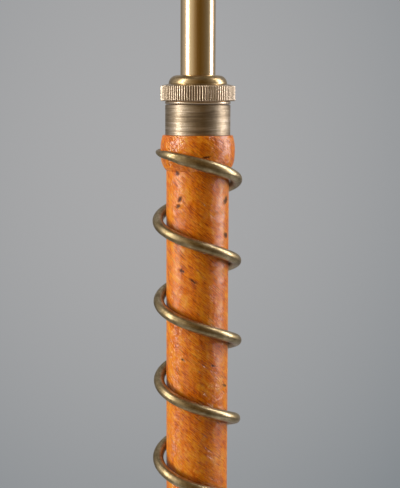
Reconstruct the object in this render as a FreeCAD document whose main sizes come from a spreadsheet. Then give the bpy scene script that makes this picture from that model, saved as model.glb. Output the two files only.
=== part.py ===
import FreeCAD, Part

# A height-adjustable floor lamp. A turned wooden stem wound with a brass rod stands on a
# weighted brass foot. A brass riser tube slides and turns inside the stem, is gripped by a
# split collet under a knurled nut, and carries a lamp holder, a bulb and a conical shade.
# Millimetres, +Z up, the floor at z = 0 and the stem on the Z axis.

import math
import os
import re

import Sketcher
from FreeCAD import Placement, Rotation, Vector

DOC = FreeCAD.newDocument("floor_lamp")
SHEET = DOC.addObject("Spreadsheet::Sheet", "sizes")

# ---------------------------------------------------------------- driving dimensions
SIZES = {
    # clearances
    "running_clearance": 0.05,  # a piece that turns or slides in another, per side
    "seat_clearance": 0.02,  # a piece that is pressed or screwed into another, per side
    # foot
    "base_radius": 140,
    "base_rim_height": 14,  # upright part of the cover's rim
    "base_shoulder": 6,  # rounding from the rim to the dish
    "dish_rise": 4,  # how far the dish climbs from the rim to the cove
    "dish_arc": 700,  # radius of the dish's gentle crown
    "cove_radius": 12,
    "boss_radius": 34,
    "boss_rounding": 4,
    "cover_wall": 1.2,
    "cover_lift": 2,  # daylight under the rim
    "felt_thickness": 3,
    "felt_hole_radius": 30,
    "weight_gap": 0.8,  # ballast to the cover's rim
    "weight_thickness": 14,
    "weight_edge": 1.6,  # bevel of the ballast's upper edge
    "weight_crown_radius": 38,
    "recess_radius": 24,  # pocket under the ballast for the clamping nut
    "recess_depth": 13,
    "channel_gap": 0.5,  # bush to the groove that leads on to the middle
    "bush_radius": 5,
    "bush_flange_radius": 6.2,
    "bush_flange": 1.4,
    "bush_bore_radius": 3.6,
    "bush_height": 9,  # middle of the lead's inlet above the floor
    "bush_length": 8,
    # brass socket between foot and stem
    "foot_flange_radius": 24,
    "foot_flange": 3,
    "foot_floor": 4,
    "foot_cove": 5,
    "spigot_radius": 8,
    "spigot_bore_radius": 5,
    "washer_radius": 15,
    "washer_thickness": 2,
    "foot_nut_flats": 24,
    "foot_nut_height": 7,
    # turned stem
    "stem_radius": 14.35,
    "shaft_length": 908,  # plain shaft between the two beads
    "stem_bore_radius": 8.5,
    "stem_guide_length": 120,  # narrower top of the bore, which steadies and stops the tube
    "tenon_radius": 12.3,
    "tenon_length": 12,
    "upper_tenon_length": 9,
    "bead_height": 16,
    "bead_top_radius": 15.1,  # at the end face
    "bead_root_radius": 15.3,  # where the bead meets the shaft
    "bead_arc": 17.8,  # radius of the bead's profile
    # brass rod wound round the stem
    "rod_radius": 2.5,
    "rod_gap": 1.1,  # daylight between rod and shaft
    "rod_bead_gap": 0.06,
    "rod_turns": 24,  # even turns between the two leads
    "rod_tip_angle": 110,  # where the upper tip lies, from the +X side
    "rod_lead_angle": 250,  # turn over which the rod steepens to its even pitch
    "rod_lead_drop": 15.5,  # fall over that angle
    "rod_tip_inset": 4.9,  # end face of the bead to the rod's tip
    "rod_tip_radius": 0.75,
    "rod_point_angle": 85,  # turn over which the tip keeps its least thickness
    "rod_taper_angle": 65,  # turn over which it then grows to the full one
    "rod_settling": 0.5,  # softness of the step from the bead down to the shaft
    "rod_bend_radius": 1.9,
    "rod_peg_length": 5,  # how far the turned-in tip reaches
    "rod_wander": 0.45,  # how far hand winding leaves the turns off centre
    "rod_hole_clearance": 0.4,  # the tip in its hole, per side
    # brass ferrule on the stem's upper end
    "ferrule_radius": 14.85,
    "ferrule_height": 13.8,
    "ferrule_edge": 0.3,  # chamfer of the ferrule's upper edge
    "neck_radius": 11.5,
    "neck_height": 7,
    "neck_seat": 2.2,  # depth of the cone that takes the collet
    "guide_clearance": 0.2,  # tube in the ferrule and the nut
    # knurled clamping nut and collet
    "nut_gap": 0.15,  # joint line between nut and ferrule
    "lip_radius": 14.5,
    "lip_height": 1.45,
    "lip_arc": 0.8,  # radius of the lip's bead
    "knurl_radius": 17,
    "knurl_height": 6.9,
    "knurl_depth": 0.42,  # a right-angled groove, so also half its width
    "knurl_count": 90,
    "knurl_edge": 0.35,
    "nut_slope": 0.8,  # rise from the knurl's edge to the dome's foot
    "dome_radius": 13.3,
    "dome_height": 3.9,  # also the radius of the dome's rounding
    "nut_thread_clearance": 0.1,
    "collet_radius": 10.15,
    "collet_band": 1,
    "collet_nose": 2.3,
    "collet_taper": 1.5,  # how far the nose narrows
    "collet_foot": 1.7,
    "collet_slit": 1.5,
    # riser tube
    "tube_radius": 8,
    "tube_wall": 1,
    "tube_length": 680,
    "tube_inside": 380,  # hidden length below the ferrule's top face
    "guide_flange": 3,
    "guide_plug": 12,
    "guide_bore_radius": 4.5,
    "plug_depth": 14,
    "plug_flange": 2,
    "nipple_radius": 5,
    "nipple_bore_radius": 3.5,
    "nipple_below": 8,
    "nipple_above": 14,
    "lock_radius": 10.5,
    "lock_height": 4,
    # lamp holder
    "holder_radius": 19.5,
    "holder_wall": 0.9,
    "holder_height": 40,
    "cap_height": 22,
    "cap_neck_radius": 9,
    "cap_neck_height": 4,
    "cap_wall": 1,
    "cap_bell_arc": 14.7,
    "cap_lap": 4,  # how far the cap laps over the shell
    "insulator_height": 12,
    "insulator_gap": 0.3,
    "thread_shell_radius": 14.3,
    "thread_shell_wall": 0.5,
    "tongue_height": 2.4,  # bulb's contact above the insulator
    "tongue_foot": 2,  # flat end on the insulator
    "tongue_tip": 2,  # flat end under the bulb
    "rim_height": 3,
    "rim_depth": 5,
    "key_height": 3,  # switch spindle above the cap's upper edge
    "spindle_radius": 2,
    "spindle_inside": 9,
    "spindle_outside": 7,
    "key_radius": 5,
    "key_length": 9,
    "key_wing": 8,
    "key_wing_thickness": 3.2,
    "key_bevel": 1,
    # shade and its carrier
    "ring_height": 18,  # fixed ring above the cap's upper edge
    "fixed_ring_radius": 23.5,
    "fixed_ring_height": 4,
    "nut_ring_radius": 24,
    "nut_ring_height": 5,
    "ring_flute_count": 18,
    "ring_flute_radius": 1.6,
    "carrier_hole_radius": 20.6,
    "carrier_ring_radius": 27,
    "carrier_ring_thickness": 1.6,
    "arm_radius": 1.6,
    "arm_count": 3,
    "arm_bend_radius": 9,
    "arm_foot_length": 8,
    "arm_sink": 0.3,  # how deep the weld sinks the arm in the ring
    "shade_rise": 140,  # carrier ring to the shade's upper wire
    "wire_radius": 1.6,
    "shade_top_radius": 100,
    "shade_bottom_radius": 200,
    "shade_height": 252,
    "shade_wall": 1,
    "shade_wire_inset": 5,  # shade's edge to the middle of the wire
    "trim_width": 9,
    "trim_thickness": 0.5,
    "trim_gap": 0.1,
    # bulb
    "bulb_cap_radius": 13.2,
    "bulb_cap_height": 24,
    "bulb_neck_radius": 12.6,
    "bulb_neck_height": 8,
    "bulb_radius": 30,
    "bulb_height": 86,  # glass above the metal cap
    "bulb_wall": 0.8,
    "bulb_flare_angle": 25,
    "bulb_tip_radius": 4.5,
    "bulb_tip_height": 2.6,
    "bulb_collar_radius": 6.3,  # hole in the cap that the tip fills
    "bulb_cap_wall": 0.35,
}


def fill_sheet():
    """One row for each size: its name and its number, with the name as the cell's alias."""
    for row, (alias, number) in enumerate(SIZES.items(), start=1):
        SHEET.set(f"A{row}", alias)
        SHEET.set(f"B{row}", str(number))
        SHEET.setAlias(f"B{row}", alias)
    DOC.recompute()


fill_sheet()


def bound(expression):
    """The expression with each size's name pointed at the sheet."""

    def point(match):
        word = match.group(0)
        return "sizes." + word if word in SIZES else word

    return re.sub(r"[a-z][a-z_]*", point, str(expression))


def size(expression):
    """The number that an expression of sizes comes to."""
    return float(SHEET.evalExpression(bound(expression)))


# ---------------------------------------------------------------- heights up the lamp
COVER_TOP = (
    "(cover_lift + base_rim_height + base_shoulder + dish_rise + cove_radius + boss_rounding)"
)
STEM_BOTTOM = f"({COVER_TOP} + foot_floor)"
STEM_LENGTH = "(tenon_length + 2 * bead_height + shaft_length + upper_tenon_length)"
BEAD_TOP = f"({STEM_BOTTOM} + tenon_length + 2 * bead_height + shaft_length)"
FERRULE_TOP = f"({BEAD_TOP} + ferrule_height)"
NUT_BOTTOM = f"({FERRULE_TOP} + nut_gap)"
TUBE_BOTTOM = f"({FERRULE_TOP} - tube_inside)"
TUBE_TOP = f"({TUBE_BOTTOM} + tube_length)"
LOCK_BOTTOM = f"({TUBE_TOP} + plug_flange)"
CAP_BOTTOM = f"({LOCK_BOTTOM} + lock_height)"
CAP_TOP = f"({CAP_BOTTOM} + cap_height)"
SHELL_BOTTOM = f"({CAP_TOP} - cap_lap)"
SHELL_TOP = f"({SHELL_BOTTOM} + holder_height)"
FIXED_RING_BOTTOM = f"({CAP_TOP} + ring_height)"
CARRIER_BOTTOM = f"({FIXED_RING_BOTTOM} + fixed_ring_height)"
NUT_RING_BOTTOM = f"({CARRIER_BOTTOM} + carrier_ring_thickness)"
SHADE_BOTTOM = f"({CARRIER_BOTTOM} + shade_rise + shade_wire_inset - shade_height)"
INSULATOR_TOP = f"({SHELL_BOTTOM} + insulator_gap + insulator_height)"
BULB_BOTTOM = f"({INSULATOR_TOP} + tongue_height + running_clearance + bulb_tip_height)"
BULB_CAP_TOP = f"({BULB_BOTTOM} + bulb_cap_height)"

SHADE_SLOPE = "((shade_bottom_radius - shade_top_radius) / shade_height)"
SHADE_STRETCH = f"sqrt(1 + {SHADE_SLOPE} * {SHADE_SLOPE})"


# ---------------------------------------------------------------- ways of making a piece
def new_body(label, height="0"):
    """An empty body whose own origin stands at a height up the lamp."""
    body = DOC.addObject("PartDesign::Body", label)
    body.Label = label
    body.setExpression("Placement.Base.z", bound(height))
    return body


def origin_plane(body, role):
    return next(f for f in body.Origin.OriginFeatures if f.Role == role)


def new_sketch(body, name, plane="XZ_Plane", offset=None):
    """A sketch on one of the body's own origin planes, or at an offset from it."""
    sketch = body.newObject("Sketcher::SketchObject", name)
    sketch.AttachmentSupport = [(origin_plane(body, plane), "")]
    sketch.MapMode = "FlatFace"
    if offset:
        sketch.setExpression("AttachmentOffset.Base.z", bound(offset))
    DOC.recompute()
    return sketch


def dimension(sketch, kind, *parts, to):
    """Adds one driving constraint and binds it to an expression of sizes."""
    index = sketch.addConstraint(Sketcher.Constraint(kind, *parts, size(to)))
    name = f"size_{index}"
    sketch.renameConstraint(index, name)
    sketch.setExpression(f"Constraints.{name}", bound(to))


def arc(radius, side):
    """Marks that the way to the next corner is an arc. Side 1 bows to the left of the way,
    -1 to the right."""
    return ("arc", radius, side)


def arc_geometry(start, end, radius, side):
    """The short arc between two points, always counter-clockwise, and whether it is turned."""
    chord = end - start
    half = chord.Length / 2
    across = Vector(-chord.y, chord.x, 0).normalize()
    centre = (start + end) * 0.5 - across * side * math.sqrt(max(radius**2 - half**2, 0))
    first = math.atan2(start.y - centre.y, start.x - centre.x)
    last = math.atan2(end.y - centre.y, end.x - centre.x)
    circle = Part.Circle(centre, Vector(0, 0, 1), radius)
    turned = side > 0
    if turned:
        first, last = last, first
    if last < first:
        last += 2 * math.pi
    return Part.ArcOfCircle(circle, first, last), turned


def draw_outline(sketch, outline):
    """A closed outline of lines and arcs. Each corner is a pair of expressions, and every
    corner and radius is dimensioned from the sheet."""
    corners, arcs = [], {}
    for step in outline:
        if step[0] == "arc":
            arcs[len(corners) - 1] = step
        else:
            corners.append(step)
    points = [Vector(size(x), size(y), 0) for x, y in corners]
    starts, ends = [], []
    for i, start in enumerate(points):
        end = points[(i + 1) % len(points)]
        if i in arcs:
            shape, turned = arc_geometry(start, end, size(arcs[i][1]), arcs[i][2])
            index = sketch.addGeometry(shape, False)
            starts.append((index, 2 if turned else 1))
            ends.append((index, 1 if turned else 2))
        else:
            index = sketch.addGeometry(Part.LineSegment(start, end), False)
            starts.append((index, 1))
            ends.append((index, 2))
    for i, end in enumerate(ends):
        sketch.addConstraint(
            Sketcher.Constraint("Coincident", *end, *starts[(i + 1) % len(starts)])
        )
    for i, (x, y) in enumerate(corners):
        dimension(sketch, "DistanceX", -1, 1, *starts[i], to=x)
        dimension(sketch, "DistanceY", -1, 1, *starts[i], to=y)
        if i in arcs:
            dimension(sketch, "Radius", starts[i][0], to=arcs[i][1])


def draw_circle(sketch, x, y, radius):
    centre = Vector(size(x), size(y), 0)
    circle = sketch.addGeometry(Part.Circle(centre, Vector(0, 0, 1), size(radius)), False)
    dimension(sketch, "DistanceX", -1, 1, circle, 3, to=x)
    dimension(sketch, "DistanceY", -1, 1, circle, 3, to=y)
    dimension(sketch, "Radius", circle, to=radius)


def revolve(body, outline):
    """Turns an outline of (radius, height) corners about the body's Z axis."""
    sketch = new_sketch(body, body.Name + "_profile")
    draw_outline(sketch, outline)
    turned = body.newObject("PartDesign::Revolution", body.Name + "_turned")
    turned.Profile = sketch
    turned.ReferenceAxis = (sketch, ["V_Axis"])
    turned.Angle = 360
    sketch.Visibility = False
    DOC.recompute()
    return turned


def turned(label, height, outline):
    """A piece that is simply turned or spun."""
    body = new_body(label, height)
    revolve(body, outline)
    return body


def ring_outline(inner, outer, bottom, top):
    return [(inner, bottom), (outer, bottom), (outer, top), (inner, top)]


def cut_from(body, name, sketch, length, outward=False):
    """A pocket of a set depth, checked to have taken material away."""
    before = body.Shape.Volume
    pocket = body.newObject("PartDesign::Pocket", name)
    pocket.Profile = sketch
    pocket.setExpression("Length", bound(length))
    pocket.Reversed = outward
    DOC.recompute()
    if not body.Shape.Volume < before:
        raise ValueError(f"{name} cuts nothing")
    return pocket


def circle_of(body, name, feature, count):
    """Repeats a feature round the body's Z axis."""
    pattern = body.newObject("PartDesign::PolarPattern", name)
    pattern.Originals = [feature]
    pattern.Axis = (origin_axis(body, "Z_Axis"), [""])
    pattern.Angle = 360
    pattern.setExpression("Occurrences", bound(count))
    body.Tip = pattern
    DOC.recompute()
    return pattern


def origin_axis(body, role):
    return next(f for f in body.Origin.OriginFeatures if f.Role == role)


# ---------------------------------------------------------------- weighted foot
def foot_parts():
    """Felt pad, iron ballast, spun brass cover, the lead's inlet bush, washer and nut."""
    felt = turned(
        "floor_felt",
        "0",
        ring_outline("felt_hole_radius", WEIGHT_RADIUS, "0", "felt_thickness"),
    )
    return [felt, base_weight(), base_cover(), lead_bush(), foot_washer(), foot_nut()]


WEIGHT_RADIUS = "(base_radius - cover_wall - weight_gap)"
WEIGHT_BOSS_TOP = f"({COVER_TOP} - cover_wall - felt_thickness)"
DISH_EDGE = "(cover_lift + base_rim_height + base_shoulder)"


def base_weight():
    """Cast-iron disc with a raised middle that the cover is clamped on, a pocket for the nut
    and a groove for the lead."""
    body = new_body("base_weight", "felt_thickness")
    bore = "(spigot_radius + running_clearance)"
    revolve(
        body,
        [
            (bore, "recess_depth"),
            ("recess_radius", "recess_depth"),
            ("recess_radius", "0"),
            (WEIGHT_RADIUS, "0"),
            (WEIGHT_RADIUS, "weight_thickness - weight_edge"),
            (f"{WEIGHT_RADIUS} - weight_edge", "weight_thickness"),
            ("weight_crown_radius", "weight_thickness"),
            ("boss_radius - boss_rounding", WEIGHT_BOSS_TOP),
            (bore, WEIGHT_BOSS_TOP),
        ],
    )
    groove = new_sketch(body, "lead_groove", "XY_Plane")
    half = "(bush_radius + channel_gap)"
    draw_outline(
        groove,
        [
            (f"-{half}", "recess_radius / 2"),
            (half, "recess_radius / 2"),
            (half, "base_radius"),
            (f"-{half}", "base_radius"),
        ],
    )
    roof = f"bush_height - felt_thickness + {half}"
    cut_from(body, "lead_groove_cut", groove, roof, outward=True)
    return body


def base_cover():
    """Spun sheet: an upright rim, a gently crowned dish, a cove and a flat-topped boss."""
    body = new_body("base_cover", "cover_lift")
    rim_top = "base_rim_height"
    edge = "(base_rim_height + base_shoulder)"
    cove_bottom = f"({edge} + dish_rise)"
    cove_top = f"({cove_bottom} + cove_radius)"
    top = f"({cove_top} + boss_rounding)"
    hole = "(spigot_radius + running_clearance)"
    revolve(
        body,
        [
            ("base_radius", "0"),
            ("base_radius", rim_top),
            arc("base_shoulder", -1),
            ("base_radius - base_shoulder", edge),
            arc("dish_arc", -1),
            ("boss_radius + cove_radius", cove_bottom),
            arc("cove_radius", 1),
            ("boss_radius", cove_top),
            arc("boss_rounding", -1),
            ("boss_radius - boss_rounding", top),
            (hole, top),
            (hole, f"{top} - cover_wall"),
            ("boss_radius - boss_rounding", f"{top} - cover_wall"),
            arc("boss_rounding - cover_wall", 1),
            ("boss_radius - cover_wall", cove_top),
            arc("cove_radius + cover_wall", -1),
            ("boss_radius + cove_radius", f"{cove_bottom} - cover_wall"),
            arc("dish_arc", 1),
            ("base_radius - base_shoulder", f"{edge} - cover_wall"),
            arc("base_shoulder - cover_wall", 1),
            ("base_radius - cover_wall", rim_top),
            ("base_radius - cover_wall", "0"),
        ],
    )
    inlet = new_sketch(body, "inlet", "XZ_Plane", offset="-(base_radius - cover_wall * 4)")
    draw_circle(inlet, "0", "bush_height - cover_lift", "bush_radius + running_clearance")
    cut_from(body, "inlet_hole", inlet, "cover_wall * 8")
    return body


def lead_bush():
    """Moulded bush in the cover's rim, at the back, where the lead comes in."""
    body = new_body("lead_bush", "bush_height")
    revolve(
        body,
        [
            ("bush_bore_radius", "-bush_length"),
            ("bush_radius", "-bush_length"),
            ("bush_radius", "0"),
            ("bush_flange_radius", "0"),
            ("bush_flange_radius", "bush_flange / 2"),
            arc("bush_flange / 2", 1),
            ("bush_flange_radius - bush_flange / 2", "bush_flange"),
            ("bush_bore_radius", "bush_flange"),
        ],
    )
    body.Placement.Rotation = Rotation(Vector(1, 0, 0), -90)
    body.setExpression("Placement.Base.y", bound("base_radius"))
    return body


def foot_washer():
    recess_top = "(felt_thickness + recess_depth)"
    return turned(
        "foot_washer",
        f"{recess_top} - washer_thickness",
        ring_outline(
            "spigot_radius + running_clearance", "washer_radius", "0", "washer_thickness"
        ),
    )


def foot_nut():
    """Hexagon nut that draws the socket, cover and ballast together."""
    height = "(felt_thickness + recess_depth - washer_thickness - foot_nut_height)"
    body = new_body("foot_nut", height)
    sketch = new_sketch(body, "hexagon", "XY_Plane")
    corner = "foot_nut_flats / sqrt(3)"
    draw_outline(
        sketch,
        [(f"{corner} * cos({60 * k})", f"{corner} * sin({60 * k})") for k in range(6)],
    )
    draw_circle(sketch, "0", "0", "spigot_radius + running_clearance")
    pad = body.newObject("PartDesign::Pad", "nut_blank")
    pad.Profile = sketch
    pad.setExpression("Length", bound("foot_nut_height"))
    DOC.recompute()
    return body


# ---------------------------------------------------------------- stem
def foot_socket():
    """Turned brass socket: a flange on the foot, a cup for the stem's tenon and a hollow
    threaded spigot down through the foot."""
    spigot = (
        f"({COVER_TOP} - felt_thickness - recess_depth + washer_thickness + foot_nut_height)"
    )
    cup_top = "(foot_floor + tenon_length)"
    return turned(
        "foot_socket",
        COVER_TOP,
        [
            ("spigot_bore_radius", f"-{spigot}"),
            ("spigot_radius", f"-{spigot}"),
            ("spigot_radius", "0"),
            ("foot_flange_radius", "0"),
            ("foot_flange_radius", "foot_flange / 2"),
            arc("foot_flange / 2", -1),
            ("foot_flange_radius - foot_flange / 2", "foot_flange"),
            ("ferrule_radius + foot_cove", "foot_flange"),
            arc("foot_cove", 1),
            ("ferrule_radius", "foot_flange + foot_cove"),
            ("ferrule_radius", cup_top),
            ("tenon_radius + seat_clearance", cup_top),
            ("tenon_radius + seat_clearance", "foot_floor"),
            ("spigot_bore_radius", "foot_floor"),
        ],
    )


def stem():
    """Turned beech stem: a tenon, a bead, the shaft, a bead and a tenon. Its bore narrows at
    the top, and each bead has a hole for the rod's turned-in tip."""
    body = new_body("stem", STEM_BOTTOM)
    lower_root = "(tenon_length + bead_height)"
    upper_root = f"({lower_root} + shaft_length)"
    upper_face = f"({upper_root} + bead_height)"
    guide = "(tube_radius + guide_clearance)"
    guide_bottom = f"({STEM_LENGTH} - stem_guide_length)"
    revolve(
        body,
        [
            ("stem_bore_radius", "0"),
            ("tenon_radius", "0"),
            ("tenon_radius", "tenon_length"),
            ("bead_top_radius", "tenon_length"),
            arc("bead_arc", -1),
            ("bead_root_radius", lower_root),
            ("stem_radius", lower_root),
            ("stem_radius", upper_root),
            ("bead_root_radius", upper_root),
            arc("bead_arc", -1),
            ("bead_top_radius", upper_face),
            ("tenon_radius", upper_face),
            ("tenon_radius", STEM_LENGTH),
            (guide, STEM_LENGTH),
            (guide, guide_bottom),
            ("stem_bore_radius", guide_bottom),
        ],
    )
    for name, height, sideways, facing in (
        ("lower_tip", "tenon_length + rod_tip_inset", "rod_bend_radius", LOWER_TIP_ANGLE),
        ("upper_tip", f"{upper_face} - rod_tip_inset", "-rod_bend_radius", "rod_tip_angle"),
    ):
        sketch = new_sketch(body, name, "XZ_Plane")
        turn_by = f"{facing} + 90"
        sketch.AttachmentOffset = Placement(Vector(), Rotation(Vector(0, 1, 0), size(turn_by)))
        sketch.setExpression("AttachmentOffset.Rotation.Angle", bound(turn_by))
        draw_circle(sketch, sideways, height, "rod_tip_radius + rod_hole_clearance")
        cut_from(body, name + "_hole", sketch, "bead_top_radius + bead_arc", outward=True)
    return body


# The lower lead mirrors the upper one, so its tip lies this far round from the +X side.
LOWER_TIP_ANGLE = "(rod_tip_angle + 2 * rod_lead_angle - 360)"

# The bead's profile is one arc. Its middle lies this far from the axis and below the face.
BEAD_CHORD = "sqrt(pow(bead_top_radius - bead_root_radius; 2) + pow(bead_height; 2))"
BEAD_SINK = f"sqrt(bead_arc * bead_arc - pow({BEAD_CHORD} / 2; 2))"
BEAD_CENTRE_RADIUS = (
    f"((bead_top_radius + bead_root_radius) / 2 - {BEAD_SINK} * bead_height / {BEAD_CHORD})"
)
BEAD_CENTRE_DEPTH = (
    f"(bead_height / 2 - {BEAD_SINK} * (bead_top_radius - bead_root_radius) / {BEAD_CHORD})"
)


# ---------------------------------------------------------------- wound rod
class RodPath:
    """Centreline of the wound rod, by angle of turn from its upper tip, in radians. It falls
    as it goes anticlockwise, rides over each bead, and follows the shaft in between."""

    SPANS_PER_TURN = 12
    LEAST_SPANS = 4

    def __init__(self):
        self.lead = math.radians(size("rod_lead_angle"))
        self.turn = 2 * math.pi * round(size("rod_turns")) + 2 * self.lead
        self.start = math.radians(size("rod_tip_angle"))
        self.top = size(f"{BEAD_TOP} - rod_tip_inset")
        self.bottom = size(f"{STEM_BOTTOM} + tenon_length + rod_tip_inset")
        self.drop = size("rod_lead_drop")
        self.pitch = (self.top - self.bottom - 2 * self.drop) / round(size("rod_turns"))
        self.helix_radius = size("stem_radius + rod_gap + rod_radius")
        self.point_angle = math.radians(size("rod_point_angle"))
        self.taper_end = self.point_angle + math.radians(size("rod_taper_angle"))
        self.thick = size("rod_radius")
        self.thin = size("rod_tip_radius")
        self.bead_gap = size("rod_bead_gap")
        self.bead_arc = size("bead_arc")
        self.bead_radius = size(BEAD_CENTRE_RADIUS)
        self.bead_depth = size(f"{BEAD_CENTRE_DEPTH} - rod_tip_inset")
        self.settling = size("rod_settling")
        self.wander = size("rod_wander")

    def fall(self, angle):
        """Depth below the nearer tip: a lead that steepens evenly, then an even pitch."""
        pitch_drop = self.pitch * self.lead / (2 * math.pi)
        share = angle / self.lead
        if share < 1:
            return (2 * self.drop - pitch_drop) * share + (pitch_drop - self.drop) * share**2
        return self.drop + pitch_drop * (share - 1)

    def thickness(self, angle):
        """The rod's own radius, drawn down towards the nearer tip."""
        near = min(angle, self.turn - angle)
        share = (near - self.point_angle) / (self.taper_end - self.point_angle)
        return self.thin + (self.thick - self.thin) * max(0, min(share, 1))

    def point(self, angle):
        near = min(angle, self.turn - angle)
        fall = self.fall(near)
        reach = self.bead_arc + self.thickness(angle) + self.bead_gap
        bead = self.bead_radius + math.sqrt(reach**2 - min(fall - self.bead_depth, reach) ** 2)
        lift = bead - self.helix_radius
        radius = self.helix_radius + (lift + math.hypot(lift, self.settling)) / 2
        height = self.top - fall if angle < self.turn / 2 else self.bottom + fall
        loose = max(near - self.lead, 0) ** 2
        drift = self.wander * loose / (1 + loose) * math.cos(angle / 4)
        way = self.start + angle
        return Vector(drift + radius * math.cos(way), radius * math.sin(way), height)

    def direction(self, angle):
        step = 1e-4
        ahead = self.point(min(angle + step, self.turn))
        behind = self.point(max(angle - step, 0))
        return (ahead - behind).normalize()

    def curve(self, first, last):
        """A smooth curve through points of the path from one angle to another."""
        turns = (last - first) / (2 * math.pi)
        spans = max(RodPath.LEAST_SPANS, round(turns * RodPath.SPANS_PER_TURN))
        spline = Part.BSplineCurve()
        spline.interpolate(
            Points=[self.point(first + (last - first) * k / spans) for k in range(spans + 1)],
            InitialTangent=self.direction(first),
            FinalTangent=self.direction(last),
            Scale=False,
        )
        return spline.toShape()


def disc_wire(centre, direction, radius):
    return Part.Wire(Part.Circle(centre, direction, radius).toShape())


def swept(path, sections):
    """The solid that a section, or one section turning into another, sweeps out."""
    pipe = Part.BRepOffsetAPI.MakePipeShell(Part.Wire(path))
    pipe.setFrenetMode(True)
    for section in sections:
        pipe.add(section)
    pipe.build()
    pipe.makeSolid()
    return pipe.shape()


def spiral_rod():
    """Brass rod wound round the stem. Each end is drawn down to a point that lies on the
    bead and is turned in to a hole there."""
    path = RodPath()
    joints = [0, path.point_angle, path.taper_end]
    joints += [path.turn - angle for angle in reversed(joints)]
    lengths = []
    for first, last in zip(joints, joints[1:]):
        ends = [
            disc_wire(path.point(a), path.direction(a), path.thickness(a))
            for a in (first, last)
        ]
        even = math.isclose(path.thickness(first), path.thickness(last))
        lengths.append(swept([path.curve(first, last)], ends[:1] if even else ends))
    for angle, way in ((0, -1), (path.turn, 1)):
        lengths.append(turned_in_tip(path, angle, way))
    rod = DOC.addObject("Part::Feature", "spiral_rod")
    rod.Label = "spiral_rod"
    rod.Shape = lengths[0].multiFuse(lengths[1:]).removeSplitter()
    return rod


def turned_in_tip(path, angle, way):
    """A quarter bend from the rod's tip in to the bead, and the straight peg after it."""
    start = path.point(angle)
    along = path.direction(angle) * way
    inward = Vector(-start.x, -start.y, 0).normalize()
    bend = size("rod_bend_radius")
    centre = start + inward * bend
    end = centre + along * bend
    middle = centre + (along - inward).normalize() * bend
    peg_end = end + inward * size("rod_peg_length")
    edges = [Part.Arc(start, middle, end).toShape(), Part.makeLine(end, peg_end)]
    return swept(edges, [disc_wire(start, along, path.thin)])


# ---------------------------------------------------------------- ferrule, collet and nut
def stem_ferrule():
    """Turned brass ferrule over the stem's upper tenon, with a threaded neck inside the nut
    and a cone in the neck's mouth that closes the collet."""
    guide = "(tube_radius + guide_clearance)"
    neck_top = "(ferrule_height + neck_height)"
    return turned(
        "stem_ferrule",
        BEAD_TOP,
        [
            ("tenon_radius + seat_clearance", "0"),
            ("ferrule_radius", "0"),
            ("ferrule_radius", "ferrule_height - ferrule_edge"),
            ("ferrule_radius - ferrule_edge", "ferrule_height"),
            ("neck_radius", "ferrule_height"),
            ("neck_radius", neck_top),
            (f"{guide} + neck_seat", neck_top),
            (guide, f"{neck_top} - neck_seat"),
            (guide, "upper_tenon_length + seat_clearance"),
            ("tenon_radius + seat_clearance", "upper_tenon_length + seat_clearance"),
        ],
    )


COLLET_BOTTOM = f"({FERRULE_TOP} + neck_height - collet_foot - running_clearance * 2)"
COLLET_HEIGHT = "(collet_foot + collet_band + collet_nose)"


def clamp_collet():
    """Split ring with a cone at each end, squeezed on to the tube by the nut."""
    body = new_body("clamp_collet", COLLET_BOTTOM)
    bore = "(tube_radius + running_clearance)"
    revolve(
        body,
        [
            (bore, "0"),
            ("collet_radius - collet_foot", "0"),
            ("collet_radius", "collet_foot"),
            ("collet_radius", "collet_foot + collet_band"),
            ("collet_radius - collet_taper", COLLET_HEIGHT),
            (bore, COLLET_HEIGHT),
        ],
    )
    slit = new_sketch(body, "slit", "XY_Plane")
    draw_outline(
        slit,
        [
            ("-collet_slit / 2", "tube_radius / 2"),
            ("collet_slit / 2", "tube_radius / 2"),
            ("collet_slit / 2", "collet_radius + collet_slit"),
            ("-collet_slit / 2", "collet_radius + collet_slit"),
        ],
    )
    cut_from(body, "slit_cut", slit, COLLET_HEIGHT, outward=True)
    return body


def clamp_nut():
    """Turned brass nut with a rounded lip, a straight-knurled grip and a domed top."""
    body = new_body("clamp_nut", NUT_BOTTOM)
    grip_top = "(lip_height + knurl_height)"
    dome_foot = f"({grip_top} + nut_slope)"
    top = f"({dome_foot} + dome_height)"
    guide = "(tube_radius + guide_clearance)"
    thread = "(neck_radius + nut_thread_clearance)"
    shoulder = "(neck_height - nut_gap + collet_band - nut_thread_clearance)"
    cone_radius = "(collet_radius + nut_thread_clearance * 2)"
    revolve(
        body,
        [
            (thread, "0"),
            ("lip_radius", "0"),
            arc("lip_arc", -1),
            ("lip_radius", "lip_height"),
            ("knurl_radius - knurl_edge", "lip_height"),
            ("knurl_radius", "lip_height + knurl_edge"),
            ("knurl_radius", f"{grip_top} - knurl_edge"),
            ("knurl_radius - knurl_edge", grip_top),
            ("dome_radius", dome_foot),
            arc("dome_height", -1),
            ("dome_radius - dome_height", top),
            (guide, top),
            (guide, f"{shoulder} + collet_nose + nut_thread_clearance"),
            (f"{cone_radius} - collet_taper", f"{shoulder} + collet_nose"),
            (cone_radius, shoulder),
            (thread, shoulder),
        ],
    )
    sketch = new_sketch(body, "knurl_groove", "XY_Plane", offset="lip_height")
    draw_outline(
        sketch,
        [
            ("knurl_radius - knurl_depth", "0"),
            ("knurl_radius + knurl_depth", "-knurl_depth * 2"),
            ("knurl_radius + knurl_depth", "knurl_depth * 2"),
        ],
    )
    groove = cut_from(body, "knurl_cut", sketch, "knurl_height + nut_slope", outward=True)
    circle_of(body, "knurl", groove, "knurl_count")
    return body


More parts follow.
